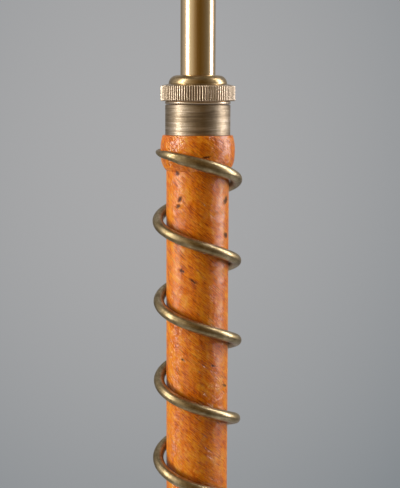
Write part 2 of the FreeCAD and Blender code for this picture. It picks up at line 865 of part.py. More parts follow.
# ---------------------------------------------------------------- riser tube
def tube_parts():
    """Brass tube, the guide bush in its lower end, and the plug, nipple and lock ring that
    carry the lamp holder on its upper end."""
    inside = "(tube_radius - tube_wall)"
    tube = turned(
        "riser_tube", TUBE_BOTTOM, ring_outline(inside, "tube_radius", "0", "tube_length")
    )
    guide = turned(
        "tube_guide",
        f"{TUBE_BOTTOM} - guide_flange - running_clearance",
        [
            ("guide_bore_radius", "0"),
            ("stem_bore_radius - running_clearance", "0"),
            ("stem_bore_radius - running_clearance", "guide_flange"),
            (f"{inside} - running_clearance", "guide_flange"),
            (f"{inside} - running_clearance", "guide_flange + guide_plug"),
            ("guide_bore_radius", "guide_flange + guide_plug"),
        ],
    )
    nipple_hole = "(nipple_radius + seat_clearance)"
    plug = turned(
        "tube_plug",
        f"{TUBE_TOP} - plug_depth",
        [
            (nipple_hole, "0"),
            (f"{inside} - seat_clearance", "0"),
            (f"{inside} - seat_clearance", "plug_depth"),
            ("tube_radius", "plug_depth"),
            ("tube_radius", "plug_depth + plug_flange"),
            (nipple_hole, "plug_depth + plug_flange"),
        ],
    )
    nipple = turned(
        "holder_nipple",
        f"{TUBE_TOP} - nipple_below",
        ring_outline("nipple_bore_radius", "nipple_radius", "0", "nipple_below + nipple_above"),
    )
    lock = turned(
        "lock_ring",
        LOCK_BOTTOM,
        [
            (nipple_hole, "0"),
            ("lock_radius", "0"),
            arc("lock_height", -1),
            ("lock_radius", "lock_height"),
            (nipple_hole, "lock_height"),
        ],
    )
    return [tube, guide, plug, nipple, lock]


# ---------------------------------------------------------------- lamp holder
def holder_cap():
    """Spun brass cap: a neck on the nipple, a bell and a lap over the shell."""
    bell_radius = "(holder_radius + cap_wall)"
    bell = "(cap_height - cap_neck_height - cap_lap)"
    hole = "(nipple_radius + seat_clearance)"
    inner = "(holder_radius + seat_clearance)"
    return turned(
        "holder_cap",
        CAP_BOTTOM,
        [
            (hole, "0"),
            ("cap_neck_radius", "0"),
            ("cap_neck_radius", "cap_neck_height"),
            arc("cap_bell_arc", -1),
            (bell_radius, f"cap_neck_height + {bell}"),
            (bell_radius, "cap_height"),
            (inner, "cap_height"),
            (inner, f"cap_neck_height + {bell}"),
            arc("cap_bell_arc", 1),
            ("cap_neck_radius - cap_wall", "cap_neck_height + cap_wall"),
            ("cap_neck_radius - cap_wall", "cap_wall * 2"),
            (hole, "cap_wall * 2"),
        ],
    )


SPINDLE_HEIGHT = "(cap_lap + key_height)"


def holder_shell():
    """Drawn brass shell with an outside thread for the shade's rings and a hole for the
    switch spindle."""
    body = new_body("holder_shell", SHELL_BOTTOM)
    revolve(
        body, ring_outline("holder_radius - holder_wall", "holder_radius", "0", "holder_height")
    )
    sketch = new_sketch(body, "spindle_hole", "YZ_Plane", offset="holder_radius / 2")
    draw_circle(sketch, "0", SPINDLE_HEIGHT, "spindle_radius + running_clearance * 2")
    cut_from(body, "spindle_hole_cut", sketch, "holder_radius", outward=True)
    return body


def holder_insulator():
    """Porcelain block at the bottom of the holder, with a well for the tongue."""
    body = new_body("holder_insulator", f"{SHELL_BOTTOM} + insulator_gap")
    outer = "(holder_radius - holder_wall - insulator_gap)"
    revolve(
        body,
        [
            ("nipple_radius", "0"),
            (outer, "0"),
            (outer, "insulator_height - cap_wall"),
            (f"{outer} - cap_wall", "insulator_height"),
            ("nipple_radius", "insulator_height"),
        ],
    )
    sketch = new_sketch(
        body, "spindle_seat", "YZ_Plane", offset="holder_radius - spindle_inside - holder_wall"
    )
    draw_circle(
        sketch,
        "0",
        f"{SPINDLE_HEIGHT} - insulator_gap",
        "spindle_radius + running_clearance * 2",
    )
    cut_from(body, "spindle_seat_cut", sketch, "spindle_inside * 2", outward=True)
    return body


def thread_shell():
    """Rolled screw shell that takes the bulb, shown as a plain sleeve with a foot."""
    height = f"({SHELL_TOP} - {INSULATOR_TOP})"
    inner = "(thread_shell_radius - thread_shell_wall)"
    return turned(
        "thread_shell",
        INSULATOR_TOP,
        [
            ("nipple_radius + cap_wall", "0"),
            ("thread_shell_radius", "0"),
            ("thread_shell_radius", height),
            (inner, height),
            (inner, "thread_shell_wall"),
            ("nipple_radius + cap_wall", "thread_shell_wall"),
        ],
    )


def holder_rim():
    """Porcelain ring that closes the mouth of the holder."""
    inner = "(thread_shell_radius + seat_clearance)"
    return turned(
        "holder_rim",
        f"{SHELL_TOP} - rim_depth",
        [
            (inner, "0"),
            ("holder_radius - holder_wall - seat_clearance", "0"),
            ("holder_radius - holder_wall - seat_clearance", "rim_depth"),
            ("holder_radius", "rim_depth"),
            ("holder_radius", "rim_depth + rim_height / 2"),
            arc("rim_height / 2", -1),
            ("holder_radius - rim_height / 2", "rim_depth + rim_height"),
            (inner, "rim_depth + rim_height"),
        ],
    )


def contact_tongue():
    """Sprung strip under the bulb's tip, bent up from the insulator's face."""
    body = new_body("contact_tongue", INSULATOR_TOP)
    strip = "thread_shell_wall"
    end = "(nipple_radius - thread_shell_wall)"
    sketch = new_sketch(body, "strip", "XZ_Plane", offset="-nipple_radius / 2")
    draw_outline(
        sketch,
        [
            ("-nipple_radius", "0"),
            ("tongue_foot - nipple_radius", "0"),
            (f"{end} - tongue_tip", f"tongue_height - {strip}"),
            (end, f"tongue_height - {strip}"),
            (end, "tongue_height"),
            (f"{end} - tongue_tip - {strip}", "tongue_height"),
            (f"tongue_foot - nipple_radius - {strip}", strip),
            ("-nipple_radius", strip),
        ],
    )
    pad = body.newObject("PartDesign::Pad", "strip_pad")
    pad.Profile = sketch
    pad.setExpression("Length", bound("nipple_radius"))
    DOC.recompute()
    return body


def switch_parts():
    """Spindle through the holder's side, and the winged key on its end."""
    spindle = new_body("switch_spindle", f"{SHELL_BOTTOM} + {SPINDLE_HEIGHT}")
    start = "(holder_radius - spindle_inside)"
    revolve_along_x(
        spindle, ring_outline("0", "spindle_radius", start, "holder_radius + spindle_outside")
    )
    key = new_body("switch_key", f"{SHELL_BOTTOM} + {SPINDLE_HEIGHT}")
    near = "(holder_radius + cap_wall * 2)"
    hub_end = f"({near} + key_length)"
    socket = "(spindle_radius + seat_clearance)"
    socket_end = "(holder_radius + spindle_outside + seat_clearance)"
    revolve_along_x(
        key,
        [
            (socket, near),
            ("key_radius - key_bevel", near),
            ("key_radius", f"{near} + key_bevel"),
            ("key_radius", f"{hub_end} - key_wing_thickness"),
            arc("key_wing_thickness", -1),
            ("key_radius - key_wing_thickness", hub_end),
            ("0", hub_end),
            ("0", socket_end),
            (socket, socket_end),
        ],
    )
    sketch = new_sketch(key, "wing", "YZ_Plane", offset=socket_end)
    draw_outline(
        sketch,
        [
            ("-key_wing_thickness / 2", "-key_wing"),
            ("key_wing_thickness / 2", "-key_wing"),
            ("key_wing_thickness / 2", "key_wing"),
            ("-key_wing_thickness / 2", "key_wing"),
        ],
    )
    wing = key.newObject("PartDesign::Pad", "wing_pad")
    wing.Profile = sketch
    wing.setExpression("Length", bound(f"{hub_end} + key_wing_thickness - {socket_end}"))
    DOC.recompute()
    return [spindle, key]


def revolve_along_x(body, outline):
    """Turns an outline of (radius, distance) corners about the body's X axis."""
    sketch = new_sketch(body, body.Name + "_profile", "XY_Plane")
    draw_outline(sketch, [s if s[0] == "arc" else (s[1], s[0]) for s in flipped(outline)])
    piece = body.newObject("PartDesign::Revolution", body.Name + "_turned")
    piece.Profile = sketch
    piece.ReferenceAxis = (sketch, ["H_Axis"])
    piece.Angle = 360
    DOC.recompute()


def flipped(outline):
    """The same outline with its arcs bowed for a mirrored sketch."""
    return [arc(s[1], -s[2]) if s[0] == "arc" else s for s in outline]


# ---------------------------------------------------------------- shade
def shade_rings():
    """Fixed ring below the shade's carrier and the fluted nut ring that clamps it."""
    hole = "(holder_radius + running_clearance)"
    fixed = turned(
        "shade_seat_ring",
        FIXED_RING_BOTTOM,
        [
            ("holder_radius + seat_clearance", "0"),
            ("fixed_ring_radius - fixed_ring_height / 2", "0"),
            arc("fixed_ring_height / 2", -1),
            ("fixed_ring_radius", "fixed_ring_height / 2"),
            ("fixed_ring_radius", "fixed_ring_height"),
            ("holder_radius + seat_clearance", "fixed_ring_height"),
        ],
    )
    nut = new_body("shade_nut_ring", f"{NUT_RING_BOTTOM} + running_clearance")
    revolve(nut, ring_outline(hole, "nut_ring_radius", "0", "nut_ring_height"))
    sketch = new_sketch(nut, "flute", "XY_Plane")
    draw_circle(sketch, "nut_ring_radius + ring_flute_radius / 2", "0", "ring_flute_radius")
    flute = cut_from(nut, "flute_cut", sketch, "nut_ring_height", outward=True)
    circle_of(nut, "flutes", flute, "ring_flute_count")
    return [fixed, nut]


def wire_offset():
    """How far a wire's middle stands in from the shade's inner face, level with it."""
    return f"(wire_radius + trim_thickness + trim_gap * 2) * {SHADE_STRETCH}"


def shade_carrier():
    """Pressed ring on the holder, three wire arms and the shade's upper wire, welded."""
    base = size(CARRIER_BOTTOM)
    ring = DOC.addObject("Part::Cylinder", "carrier_plate")
    hole = DOC.addObject("Part::Cylinder", "carrier_hole")
    for disc, radius in ((ring, "carrier_ring_radius"), (hole, "carrier_hole_radius")):
        disc.setExpression("Radius", bound(radius))
        disc.setExpression("Height", bound("carrier_ring_thickness"))
        disc.setExpression("Placement.Base.z", bound(CARRIER_BOTTOM))
    plate = DOC.addObject("Part::Cut", "carrier_washer")
    plate.Base, plate.Tool = ring, hole
    hoop = DOC.addObject("Part::Torus", "upper_wire")
    hoop.setExpression("Radius1", bound(UPPER_WIRE_RADIUS))
    hoop.setExpression("Radius2", bound("wire_radius"))
    hoop.setExpression("Placement.Base.z", bound(f"{CARRIER_BOTTOM} + shade_rise"))
    arms = [carrier_arm(base, k) for k in range(round(size("arm_count")))]
    carrier = DOC.addObject("Part::MultiFuse", "shade_carrier")
    carrier.Label = "shade_carrier"
    carrier.Shapes = [plate, hoop, *arms]
    return carrier


UPPER_WIRE_RADIUS = (
    f"(shade_top_radius - shade_wall * {SHADE_STRETCH} + shade_wire_inset * {SHADE_SLOPE}"
    f" - {wire_offset()})"
)
LOWER_WIRE_RADIUS = (
    f"(shade_bottom_radius - shade_wall * {SHADE_STRETCH} - shade_wire_inset * {SHADE_SLOPE}"
    f" - {wire_offset()})"
)


def carrier_arm(base, number):
    """One wire arm: flat on the ring, bent up, and straight out to the upper wire."""
    level = base + size("carrier_ring_thickness + arm_radius - arm_sink")
    start = Vector(size("(carrier_hole_radius + carrier_ring_radius) / 2 + arm_radius"), 0, level)
    knee = Vector(start.x + size("arm_foot_length"), 0, level)
    end = Vector(size(UPPER_WIRE_RADIUS), 0, base + size("shade_rise"))
    flat = (knee - start).normalize()
    rising = (end - knee).normalize()
    turn = flat.getAngle(rising)
    bend = size("arm_bend_radius")
    reach = bend * math.tan(turn / 2)
    first, last = knee - flat * reach, knee + rising * reach
    inner = (rising - flat).normalize()
    middle = knee + inner * (bend / math.cos(turn / 2) - bend)
    edges = [
        Part.makeLine(start, first),
        Part.Arc(first, middle, last).toShape(),
        Part.makeLine(last, end),
    ]
    arm = DOC.addObject("Part::Feature", f"arm_{number + 1}")
    arm.Shape = swept(edges, [disc_wire(start, flat, size("arm_radius"))])
    turn_by = 360 / size("arm_count") * number + 90
    arm.Placement = Placement(Vector(), Rotation(Vector(0, 0, 1), turn_by))
    return arm


def shade_parts():
    """Lower wire, the laminated cover and the tape bound over each edge of it."""
    hoop = DOC.addObject("Part::Torus", "shade_lower_wire")
    hoop.Label = "shade_lower_wire"
    hoop.setExpression("Radius1", bound(LOWER_WIRE_RADIUS))
    hoop.setExpression("Radius2", bound("wire_radius"))
    hoop.setExpression("Placement.Base.z", bound(f"{SHADE_BOTTOM} + shade_wire_inset"))
    wall = f"shade_wall * {SHADE_STRETCH}"
    cover = turned(
        "shade_cover",
        SHADE_BOTTOM,
        [
            (f"shade_bottom_radius - {wall}", "0"),
            ("shade_bottom_radius", "0"),
            ("shade_top_radius", "shade_height"),
            (f"shade_top_radius - {wall}", "shade_height"),
        ],
    )
    return [hoop, cover, shade_trim("shade_trim_lower", 1), shade_trim("shade_trim_upper", -1)]


def shade_trim(label, way):
    """Tape folded over the shade's edge. Way 1 is the lower edge, -1 the upper."""
    edge = "0" if way > 0 else "shade_height"
    radius = "shade_bottom_radius" if way > 0 else "shade_top_radius"
    outside = f"trim_gap * {SHADE_STRETCH}"
    thick = f"(trim_gap + trim_thickness) * {SHADE_STRETCH}"
    wall = f"shade_wall * {SHADE_STRETCH}"
    near, far = f"({edge} - {way} * trim_gap)", f"({edge} + {way} * trim_width)"
    end = f"({edge} - {way} * (trim_gap + trim_thickness))"

    def at(height, step):
        return (f"{radius} + ({edge} - {height}) * {SHADE_SLOPE} + {step}", height)

    outline = [
        at(end, thick),
        at(far, thick),
        at(far, outside),
        at(near, outside),
        at(near, f"-({wall} + {outside})"),
        at(far, f"-({wall} + {outside})"),
        at(far, f"-({wall} + {thick})"),
        at(end, f"-({wall} + {thick})"),
    ]
    return turned(label, SHADE_BOTTOM, outline)


# ---------------------------------------------------------------- bulb
def bulb_parts():
    """Opal glass, screw cap and contact tip."""
    cap = turned(
        "bulb_cap",
        BULB_BOTTOM,
        [
            ("bulb_collar_radius", "0"),
            ("bulb_cap_radius - bulb_neck_height / 2", "0"),
            ("bulb_cap_radius", "bulb_neck_height / 2"),
            ("bulb_cap_radius", "bulb_cap_height"),
            ("bulb_cap_radius - bulb_cap_wall", "bulb_cap_height"),
            ("bulb_cap_radius - bulb_cap_wall", "bulb_neck_height / 2"),
            ("bulb_cap_radius - bulb_neck_height / 2", "bulb_cap_wall"),
            ("bulb_collar_radius", "bulb_cap_wall"),
        ],
    )
    tip = turned(
        "bulb_tip",
        f"{BULB_BOTTOM} - bulb_tip_height",
        [
            ("0", "0"),
            ("bulb_tip_radius / 2", "0"),
            ("bulb_tip_radius", "bulb_tip_height / 2"),
            ("bulb_collar_radius - seat_clearance", "bulb_tip_height"),
            ("bulb_collar_radius - seat_clearance", "bulb_tip_height + bulb_cap_wall"),
            ("0", "bulb_tip_height + bulb_cap_wall"),
        ],
    )
    middle = "(bulb_height - bulb_radius)"
    inner = "(bulb_radius - bulb_wall)"
    flare = "bulb_flare_angle"
    sunk = "bulb_neck_height"
    glass = turned(
        "bulb_glass",
        BULB_CAP_TOP,
        [
            ("bulb_neck_radius", f"-{sunk}"),
            ("bulb_neck_radius", sunk),
            (f"bulb_radius * cos({flare})", f"{middle} - bulb_radius * sin({flare})"),
            arc("bulb_radius", -1),
            ("bulb_radius", middle),
            arc("bulb_radius", -1),
            ("0", "bulb_height"),
            ("0", "bulb_height - bulb_wall"),
            arc(inner, 1),
            (inner, middle),
            arc(inner, 1),
            (f"{inner} * cos({flare})", f"{middle} - {inner} * sin({flare})"),
            ("bulb_neck_radius - bulb_wall", sunk),
            ("bulb_neck_radius - bulb_wall", f"-{sunk}"),
        ],
    )
    return [cap, tip, glass]


# ---------------------------------------------------------------- the lamp
def check_document():
    """Stops if any object failed, which recompute alone doesn't do."""
    for thing in DOC.Objects:
        if {"Invalid", "Error"} & set(thing.State):
            raise ValueError(f"{thing.Name} failed: {thing.State}")


def main():
    pieces = [
        *foot_parts(),
        foot_socket(),
        stem(),
        spiral_rod(),
        stem_ferrule(),
        clamp_collet(),
        clamp_nut(),
        *tube_parts(),
        holder_cap(),
        holder_shell(),
        holder_insulator(),
        thread_shell(),
        holder_rim(),
        contact_tongue(),
        *switch_parts(),
        *shade_rings(),
        shade_carrier(),
        *shade_parts(),
        *bulb_parts(),
    ]
    DOC.recompute()
    check_document()
    os.makedirs("parts", exist_ok=True)
    for piece in pieces:
        shape = piece.Shape
        if shape.isNull() or not shape.isValid() or not shape.Solids:
            raise ValueError(f"{piece.Label} is not a sound solid")
        shape.exportStep(f"parts/{piece.Label}.step")
        box = shape.BoundBox
        print(
            f"{piece.Label:18} solids {len(shape.Solids)} volume {shape.Volume:12.1f}"
            f" z {box.ZMin:8.2f} to {box.ZMax:8.2f} radius {box.XMax:7.2f}"
        )


main()
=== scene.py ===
import math

import bmesh
import bpy
from mathutils import Matrix, Vector


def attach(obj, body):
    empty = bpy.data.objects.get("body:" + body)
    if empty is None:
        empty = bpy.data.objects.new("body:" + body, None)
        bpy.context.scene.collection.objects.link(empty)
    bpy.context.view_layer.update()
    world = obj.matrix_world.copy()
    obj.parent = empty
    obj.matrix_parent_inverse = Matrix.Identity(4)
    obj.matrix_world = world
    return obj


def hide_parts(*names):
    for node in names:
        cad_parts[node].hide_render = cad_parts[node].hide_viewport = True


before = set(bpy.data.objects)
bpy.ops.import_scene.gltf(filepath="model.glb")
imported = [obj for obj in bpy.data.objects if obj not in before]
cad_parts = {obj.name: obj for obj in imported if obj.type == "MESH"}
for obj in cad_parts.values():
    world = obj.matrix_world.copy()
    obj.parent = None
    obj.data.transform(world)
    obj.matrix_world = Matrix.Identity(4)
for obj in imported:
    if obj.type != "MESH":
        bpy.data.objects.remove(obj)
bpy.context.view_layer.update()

# ------------------------------------------------------------------ the studio
# A close view of the clamp, from half a metre in front and a little above it. A grey paper
# backdrop, a grey floor, and a tall softbox on each side, brightest along its middle. The
# camera's own side stays dark.
MM = 0.001
camera = bpy.data.objects.new("camera", bpy.data.cameras.new("camera"))
bpy.context.scene.collection.objects.link(camera)
bpy.context.scene.camera = camera
bpy.context.scene.view_settings.view_transform = "Standard"
camera.data.lens = 85
camera.location = (0.0012, -0.528, 1.0155)
down_look = Matrix.Rotation(math.radians(82.7), 3, "X")
camera.rotation_euler = (down_look @ Matrix.Rotation(math.radians(0.19), 3, "Z")).to_euler()


def tint(red, green, blue):
    """A colour as it looks on a screen, from 0 to 255, as the shader wants it."""
    return tuple((c / 255 / 12.92 if c <= 10 else ((c / 255 + 0.055) / 1.055) ** 2.4)
                 for c in (red, green, blue)) + (1,)


def place(tree, kind, inputs=None, **settings):
    """Adds a node, with its settings and with its inputs set or linked."""
    node = tree.nodes.new(kind)
    for name, value in settings.items():
        setattr(node, name, value)
    for name, value in (inputs or {}).items():
        if isinstance(value, bpy.types.NodeSocket):
            tree.links.new(value, node.inputs[name])
        else:
            node.inputs[name].default_value = value
    return node


def sum_of(tree, operation, *values):
    """The result of a Math node."""
    inputs = dict(enumerate(values))
    return place(tree, "ShaderNodeMath", inputs, operation=operation).outputs[0]


def vector_of(tree, operation, *values):
    """The result of a Vector Math node, a plain number for a length or a dot product."""
    node = place(tree, "ShaderNodeVectorMath", dict(enumerate(values)), operation=operation)
    return node.outputs["Value" if operation in ("LENGTH", "DOT_PRODUCT") else "Vector"]


def noise_of(tree, where, scale, detail, roughness=0.5):
    """The outputs of a Noise node: Fac is smooth and random, Color is three such values."""
    inputs = {"Vector": where, "Scale": scale, "Detail": detail, "Roughness": roughness}
    return place(tree, "ShaderNodeTexNoise", inputs).outputs


def share_of(tree, value, first, last, **settings):
    """How far a value has come from first to last, held between 0 and 1."""
    inputs = {"Value": value, "From Min": first, "From Max": last}
    return place(tree, "ShaderNodeMapRange", inputs, **settings).outputs["Result"]


def ramp(tree, factor, *stops):
    """The colour that a factor picks from a row of (position, colour) stops."""
    node = place(tree, "ShaderNodeValToRGB", {"Fac": factor})
    stripes = node.color_ramp.elements
    while len(stripes) < len(stops):
        stripes.new(0.5)
    for stripe, (position, colour) in zip(stripes, stops):
        stripe.position = position
        stripe.color = colour
    return node.outputs["Color"]


def between(tree, mask, first, last):
    """The mask's 0 to 1 drawn out to first to last."""
    inputs = {"Value": mask, "To Min": first, "To Max": last}
    return place(tree, "ShaderNodeMapRange", inputs).outputs["Result"]


def blend_of(tree, factor, first, second):
    """Two colours mixed by a factor."""
    node = place(tree, "ShaderNodeMix", data_type="RGBA")
    for index, value in ((0, factor), (6, first), (7, second)):
        if isinstance(value, bpy.types.NodeSocket):
            tree.links.new(value, node.inputs[index])
        else:
            node.inputs[index].default_value = value
    return node.outputs[2]


world = bpy.data.worlds.new("studio")
bpy.context.scene.world = world
world.use_nodes = True
studio = world.node_tree
studio.nodes.clear()
way = place(studio, "ShaderNodeTexCoord").outputs["Generated"]
# The backdrop is painted lighter in its middle and darker towards its edges: a painted pool of
# light.
paper = place(
    studio, "ShaderNodeMapping",
    {"Vector": way, "Location": (0.138, 0, 0.122), "Scale": (3.21, 0, 2.646)},
).outputs["Vector"]
falloff = vector_of(studio, "DOT_PRODUCT", paper, paper)
backdrop = ramp(studio, falloff, (0, tint(169, 169, 170)), (1, tint(133, 138, 142)))
split_way = place(studio, "ShaderNodeSeparateXYZ", {"Vector": way}).outputs
heading = sum_of(
    studio, "ARCTAN2", split_way["X"], sum_of(studio, "MULTIPLY", split_way["Y"], -1)
)
turn_share = sum_of(studio, "MULTIPLY_ADD", heading, 1 / (2 * math.pi), 0.5)


def at_heading(degrees, *light):
    """A stop of the room's ramp, by degrees to the right of the camera's side."""
    return (0.5 + degrees / 360, (*light, 1))


room = ramp(
    studio, turn_share,
    at_heading(-180, 0.36, 0.36, 0.37),
    at_heading(-160, 0.30, 0.30, 0.30),
    at_heading(-138, 0.15, 0.14, 0.12),
    at_heading(-110, 0.40, 0.39, 0.40),
    at_heading(-60, 0.50, 0.47, 0.43),
    at_heading(-42, 0.62, 0.56, 0.47),
    at_heading(-22, 0.34, 0.25, 0.14),
    at_heading(-6, 0.16, 0.09, 0.02),
    at_heading(14, 0.115, 0.065, 0.012),
    at_heading(30, 0.14, 0.085, 0.025),
    at_heading(55, 0.15, 0.12, 0.08),
    at_heading(72, 0.18, 0.16, 0.13),
    at_heading(115, 0.32, 0.31, 0.32),
    at_heading(140, 0.17, 0.17, 0.17),
    at_heading(160, 0.30, 0.30, 0.31),
    at_heading(180, 0.36, 0.36, 0.37),
)
rays = place(studio, "ShaderNodeLightPath").outputs
straight = sum_of(studio, "MAXIMUM", rays["Is Camera Ray"], rays["Is Transmission Ray"])
seen = blend_of(studio, straight, room, backdrop)
overhead = between(studio, share_of(studio, split_way["Z"], -0.5, 0.8), 0.7, 1.4)
shown = place(
    studio, "ShaderNodeBackground",
    {"Color": seen, "Strength": between(studio, straight, overhead, 1.0)},
)
place(studio, "ShaderNodeOutputWorld", {"Surface": shown.outputs["Background"]})

SOFTBOX_AWAY, STRIP_AWAY, SOFTBOX_TOP = 1.5, 1.48, 2.9
LEFT_GLOW, RIGHT_GLOW = (1, 0.97, 0.92), (1, 0.98, 0.99)
# Degrees to the right of the camera's side, distance, width, foot, watts and colour.
for name, heading_degrees, away, width, foot, watts, glow in (
    ("softbox_left", -71, SOFTBOX_AWAY, 0.42, 0.80, 13, LEFT_GLOW),
    ("strip_left", -71, STRIP_AWAY, 0.13, 0.80, 12, LEFT_GLOW),
    ("softbox_right", 99, SOFTBOX_AWAY, 0.44, 0.71, 15, RIGHT_GLOW),
    ("strip_right", 101, STRIP_AWAY, 0.14, 0.71, 14, RIGHT_GLOW),
):
    lamp = bpy.data.objects.new(name, bpy.data.lights.new(name, "AREA"))
    bpy.context.scene.collection.objects.link(lamp)
    lamp.data.shape = "RECTANGLE"
    lamp.data.size, lamp.data.size_y = width, SOFTBOX_TOP - foot
    lamp.data.energy = watts
    lamp.data.color = glow
    side = math.radians(heading_degrees)
    lamp.location = (
        away * math.sin(side), -away * math.cos(side), (SOFTBOX_TOP + foot) / 2,
    )
    lamp.rotation_euler = (math.radians(90), 0, side)
    lamp.visible_camera = False

floor_mesh = bpy.data.meshes.new("floor")
shape = bmesh.new()
bmesh.ops.create_circle(shape, cap_ends=True, radius=2.6, segments=96)
shape.to_mesh(floor_mesh)
shape.free()
floor = bpy.data.objects.new("floor", floor_mesh)
bpy.context.scene.collection.objects.link(floor)
pale_floor = bpy.data.materials.new("pale_floor")
pale_floor.use_nodes = True
tree = pale_floor.node_tree
where = place(tree, "ShaderNodeTexCoord").outputs["Object"]
cloud = noise_of(tree, where, 3, 4)["Fac"]
distance = vector_of(tree, "LENGTH", where)
fade = share_of(tree, distance, 0.9, 2.4, interpolation_type="SMOOTHSTEP")
floor_colour = ramp(tree, cloud, (0.3, tint(190, 194, 199)), (0.7, tint(195, 199, 204)))
shader = tree.nodes["Principled BSDF"]
shader.inputs["Roughness"].default_value = 0.8
tree.links.new(floor_colour, shader.inputs["Base Color"])
tree.links.new(sum_of(tree, "SUBTRACT", 1, fade), shader.inputs["Alpha"])
floor.data.materials.append(pale_floor)

# ------------------------------------------------------------------ felt and ballast
# A die-cut felt disc glued under a cast-iron disc. The cover hides the iron, and the felt
# shows as a thin dark edge on the floor.


def new_group(name, inputs, outputs):
    """An empty shader node group with named sockets, and its two end nodes."""
    group = bpy.data.node_groups.new(name, "ShaderNodeTree")
    for label, kind, value in inputs:
        socket = group.interface.new_socket(label, in_out="INPUT", socket_type="NodeSocket" + kind)
        socket.default_value = value
    for label, kind in outputs:
        group.interface.new_socket(label, in_out="OUTPUT", socket_type="NodeSocket" + kind)
    return group, place(group, "NodeGroupInput").outputs, place(group, "NodeGroupOutput").inputs


def weighed(tree, *parts):
    """The sum of (value, weight) parts."""
    total = 0.0
    for value, weight in parts:
        total = sum_of(tree, "MULTIPLY_ADD", value, weight, total)
    return total


def blotches_group():
    """Soft uneven patches at two sizes: stain, tarnish, dust or the dye's own unevenness."""
    group, given, result = new_group(
        "blotches",
        [("Vector", "Vector", (0, 0, 0)), ("Scale", "Float", 100.0), ("Sharpness", "Float", 0.5)],
        [("Mask", "Float")],
    )
    broad = noise_of(group, given["Vector"], given["Scale"], 5, 0.55)["Fac"]
    fine_scale = sum_of(group, "MULTIPLY", given["Scale"], 5.3)
    fine = noise_of(group, given["Vector"], fine_scale, 3, 0.6)["Fac"]
    both = weighed(group, (broad, 0.7), (fine, 0.3))
    half = sum_of(group, "MULTIPLY", sum_of(group, "SUBTRACT", 1, given["Sharpness"]), 0.3)
    low, high = sum_of(group, "SUBTRACT", 0.5, half), sum_of(group, "ADD", 0.5, half)
    group.links.new(share_of(group, both, low, high), result["Mask"])
    return group


BLOTCHES = blotches_group()


def streaks_group():
    """Lines drawn out along one direction: lathe and polishing lines, grain, fibres."""
    group, given, result = new_group(
        "streaks",
        [("Vector", "Vector", (0, 0, 0)), ("Stretch", "Vector", (100, 100, 100)),
         ("Detail", "Float", 3.0)],
        [("Mask", "Float")],
    )
    drawn = vector_of(group, "MULTIPLY", given["Vector"], given["Stretch"])
    lines = noise_of(group, drawn, 1, given["Detail"], 0.65)["Fac"]
    group.links.new(share_of(group, lines, 0.3, 0.7), result["Mask"])
    return group


STREAKS = streaks_group()


def use_group(tree, group, **inputs):
    """Places a group in a material and gives its outputs."""
    return place(tree, "ShaderNodeGroup", inputs, node_tree=group).outputs


def new_finish(name, **plain):
    """A material with its own shader, plain values set straight on the shader's sockets."""
    material = bpy.data.materials.new(name)
    material.use_nodes = True
    tree = material.node_tree
    shader = tree.nodes["Principled BSDF"]
    for socket, value in plain.items():
        shader.inputs[socket.replace("_", " ")].default_value = value
    where = place(tree, "ShaderNodeTexCoord").outputs["Object"]
    return material, tree, shader, where


def colour_by(tree, shader, colour, mask, first, last):
    """Links the colour, and a roughness that goes from first to last with a mask."""
    tree.links.new(colour, shader.inputs["Base Color"])
    tree.links.new(between(tree, mask, first, last), shader.inputs["Roughness"])


def raise_by(tree, shader, height, distance, coat=False):
    """Puts a height into the surface, in metres of relief."""
    inputs = {"Height": height, "Distance": distance}
    bump = place(tree, "ShaderNodeBump", inputs).outputs["Normal"]
    tree.links.new(bump, shader.inputs["Normal"])
    if coat:
        tree.links.new(bump, shader.inputs["Coat Normal"])


def plain_finish(name, low, high, scale, relief, rough=(0.5, 0.7), **plain):
    """An even material with a little life: two near colours in patches, and a fine relief."""
    material, tree, shader, where = new_finish(name, **plain)
    patches = use_group(tree, BLOTCHES, Vector=where, Scale=scale, Sharpness=0.2)["Mask"]
    colour_by(tree, shader, ramp(tree, patches, (0, low), (1, high)), patches, *rough)
    raise_by(tree, shader, noise_of(tree, where, scale * 12, 3)["Fac"], relief)
    return material


def dress(node, material):
    """Gives a carried-over CAD node its finish."""
    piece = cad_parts[node]
    if not piece.material_slots:
        piece.data.materials.append(material)
    for slot in piece.material_slots:
        slot.material = material


felt_finish = plain_finish(
    "pressed_felt", tint(38, 44, 38), tint(62, 68, 60), 900, 0.0006, rough=(0.92, 1.0),
    Sheen_Weight=0.4,
)
iron_finish = plain_finish(
    "cast_iron", tint(44, 42, 41), tint(66, 62, 59), 260, 0.0004, rough=(0.55, 0.75), Metallic=0.6
)
dress("floor_felt", felt_finish)
dress("base_weight", iron_finish)

# ------------------------------------------------------------------ foot cover
# A brass sheet spun over a former: upright rim, gently crowned dish, a cove and a flat boss.
# Polished on the lathe and lacquered, so fine rings run round it.


def curved(corners, steps=10):
    """Points along an outline of (radius, height) corners. A third number is the radius of
    the arc on to the next corner, above 0 bowed to the left of the way."""
    points = []
    for corner, after in zip(corners, corners[1:] + corners[:1]):
        start, end = Vector(corner[:2]), Vector(after[:2])
        points.append(start)
        if len(corner) == 3:
            bow = corner[2]
            chord = end - start
            across = Vector((-chord.y, chord.x)).normalized()
            sink = math.sqrt(max(bow * bow - chord.length_squared / 4, 0))
            centre = (start + end) / 2 - across * math.copysign(sink, bow)
            first, last = start - centre, end - centre
            sweep = first.angle_signed(last)
            points += [
                centre + Matrix.Rotation(-sweep * k / steps, 2) @ first for k in range(1, steps)
            ]
    return points


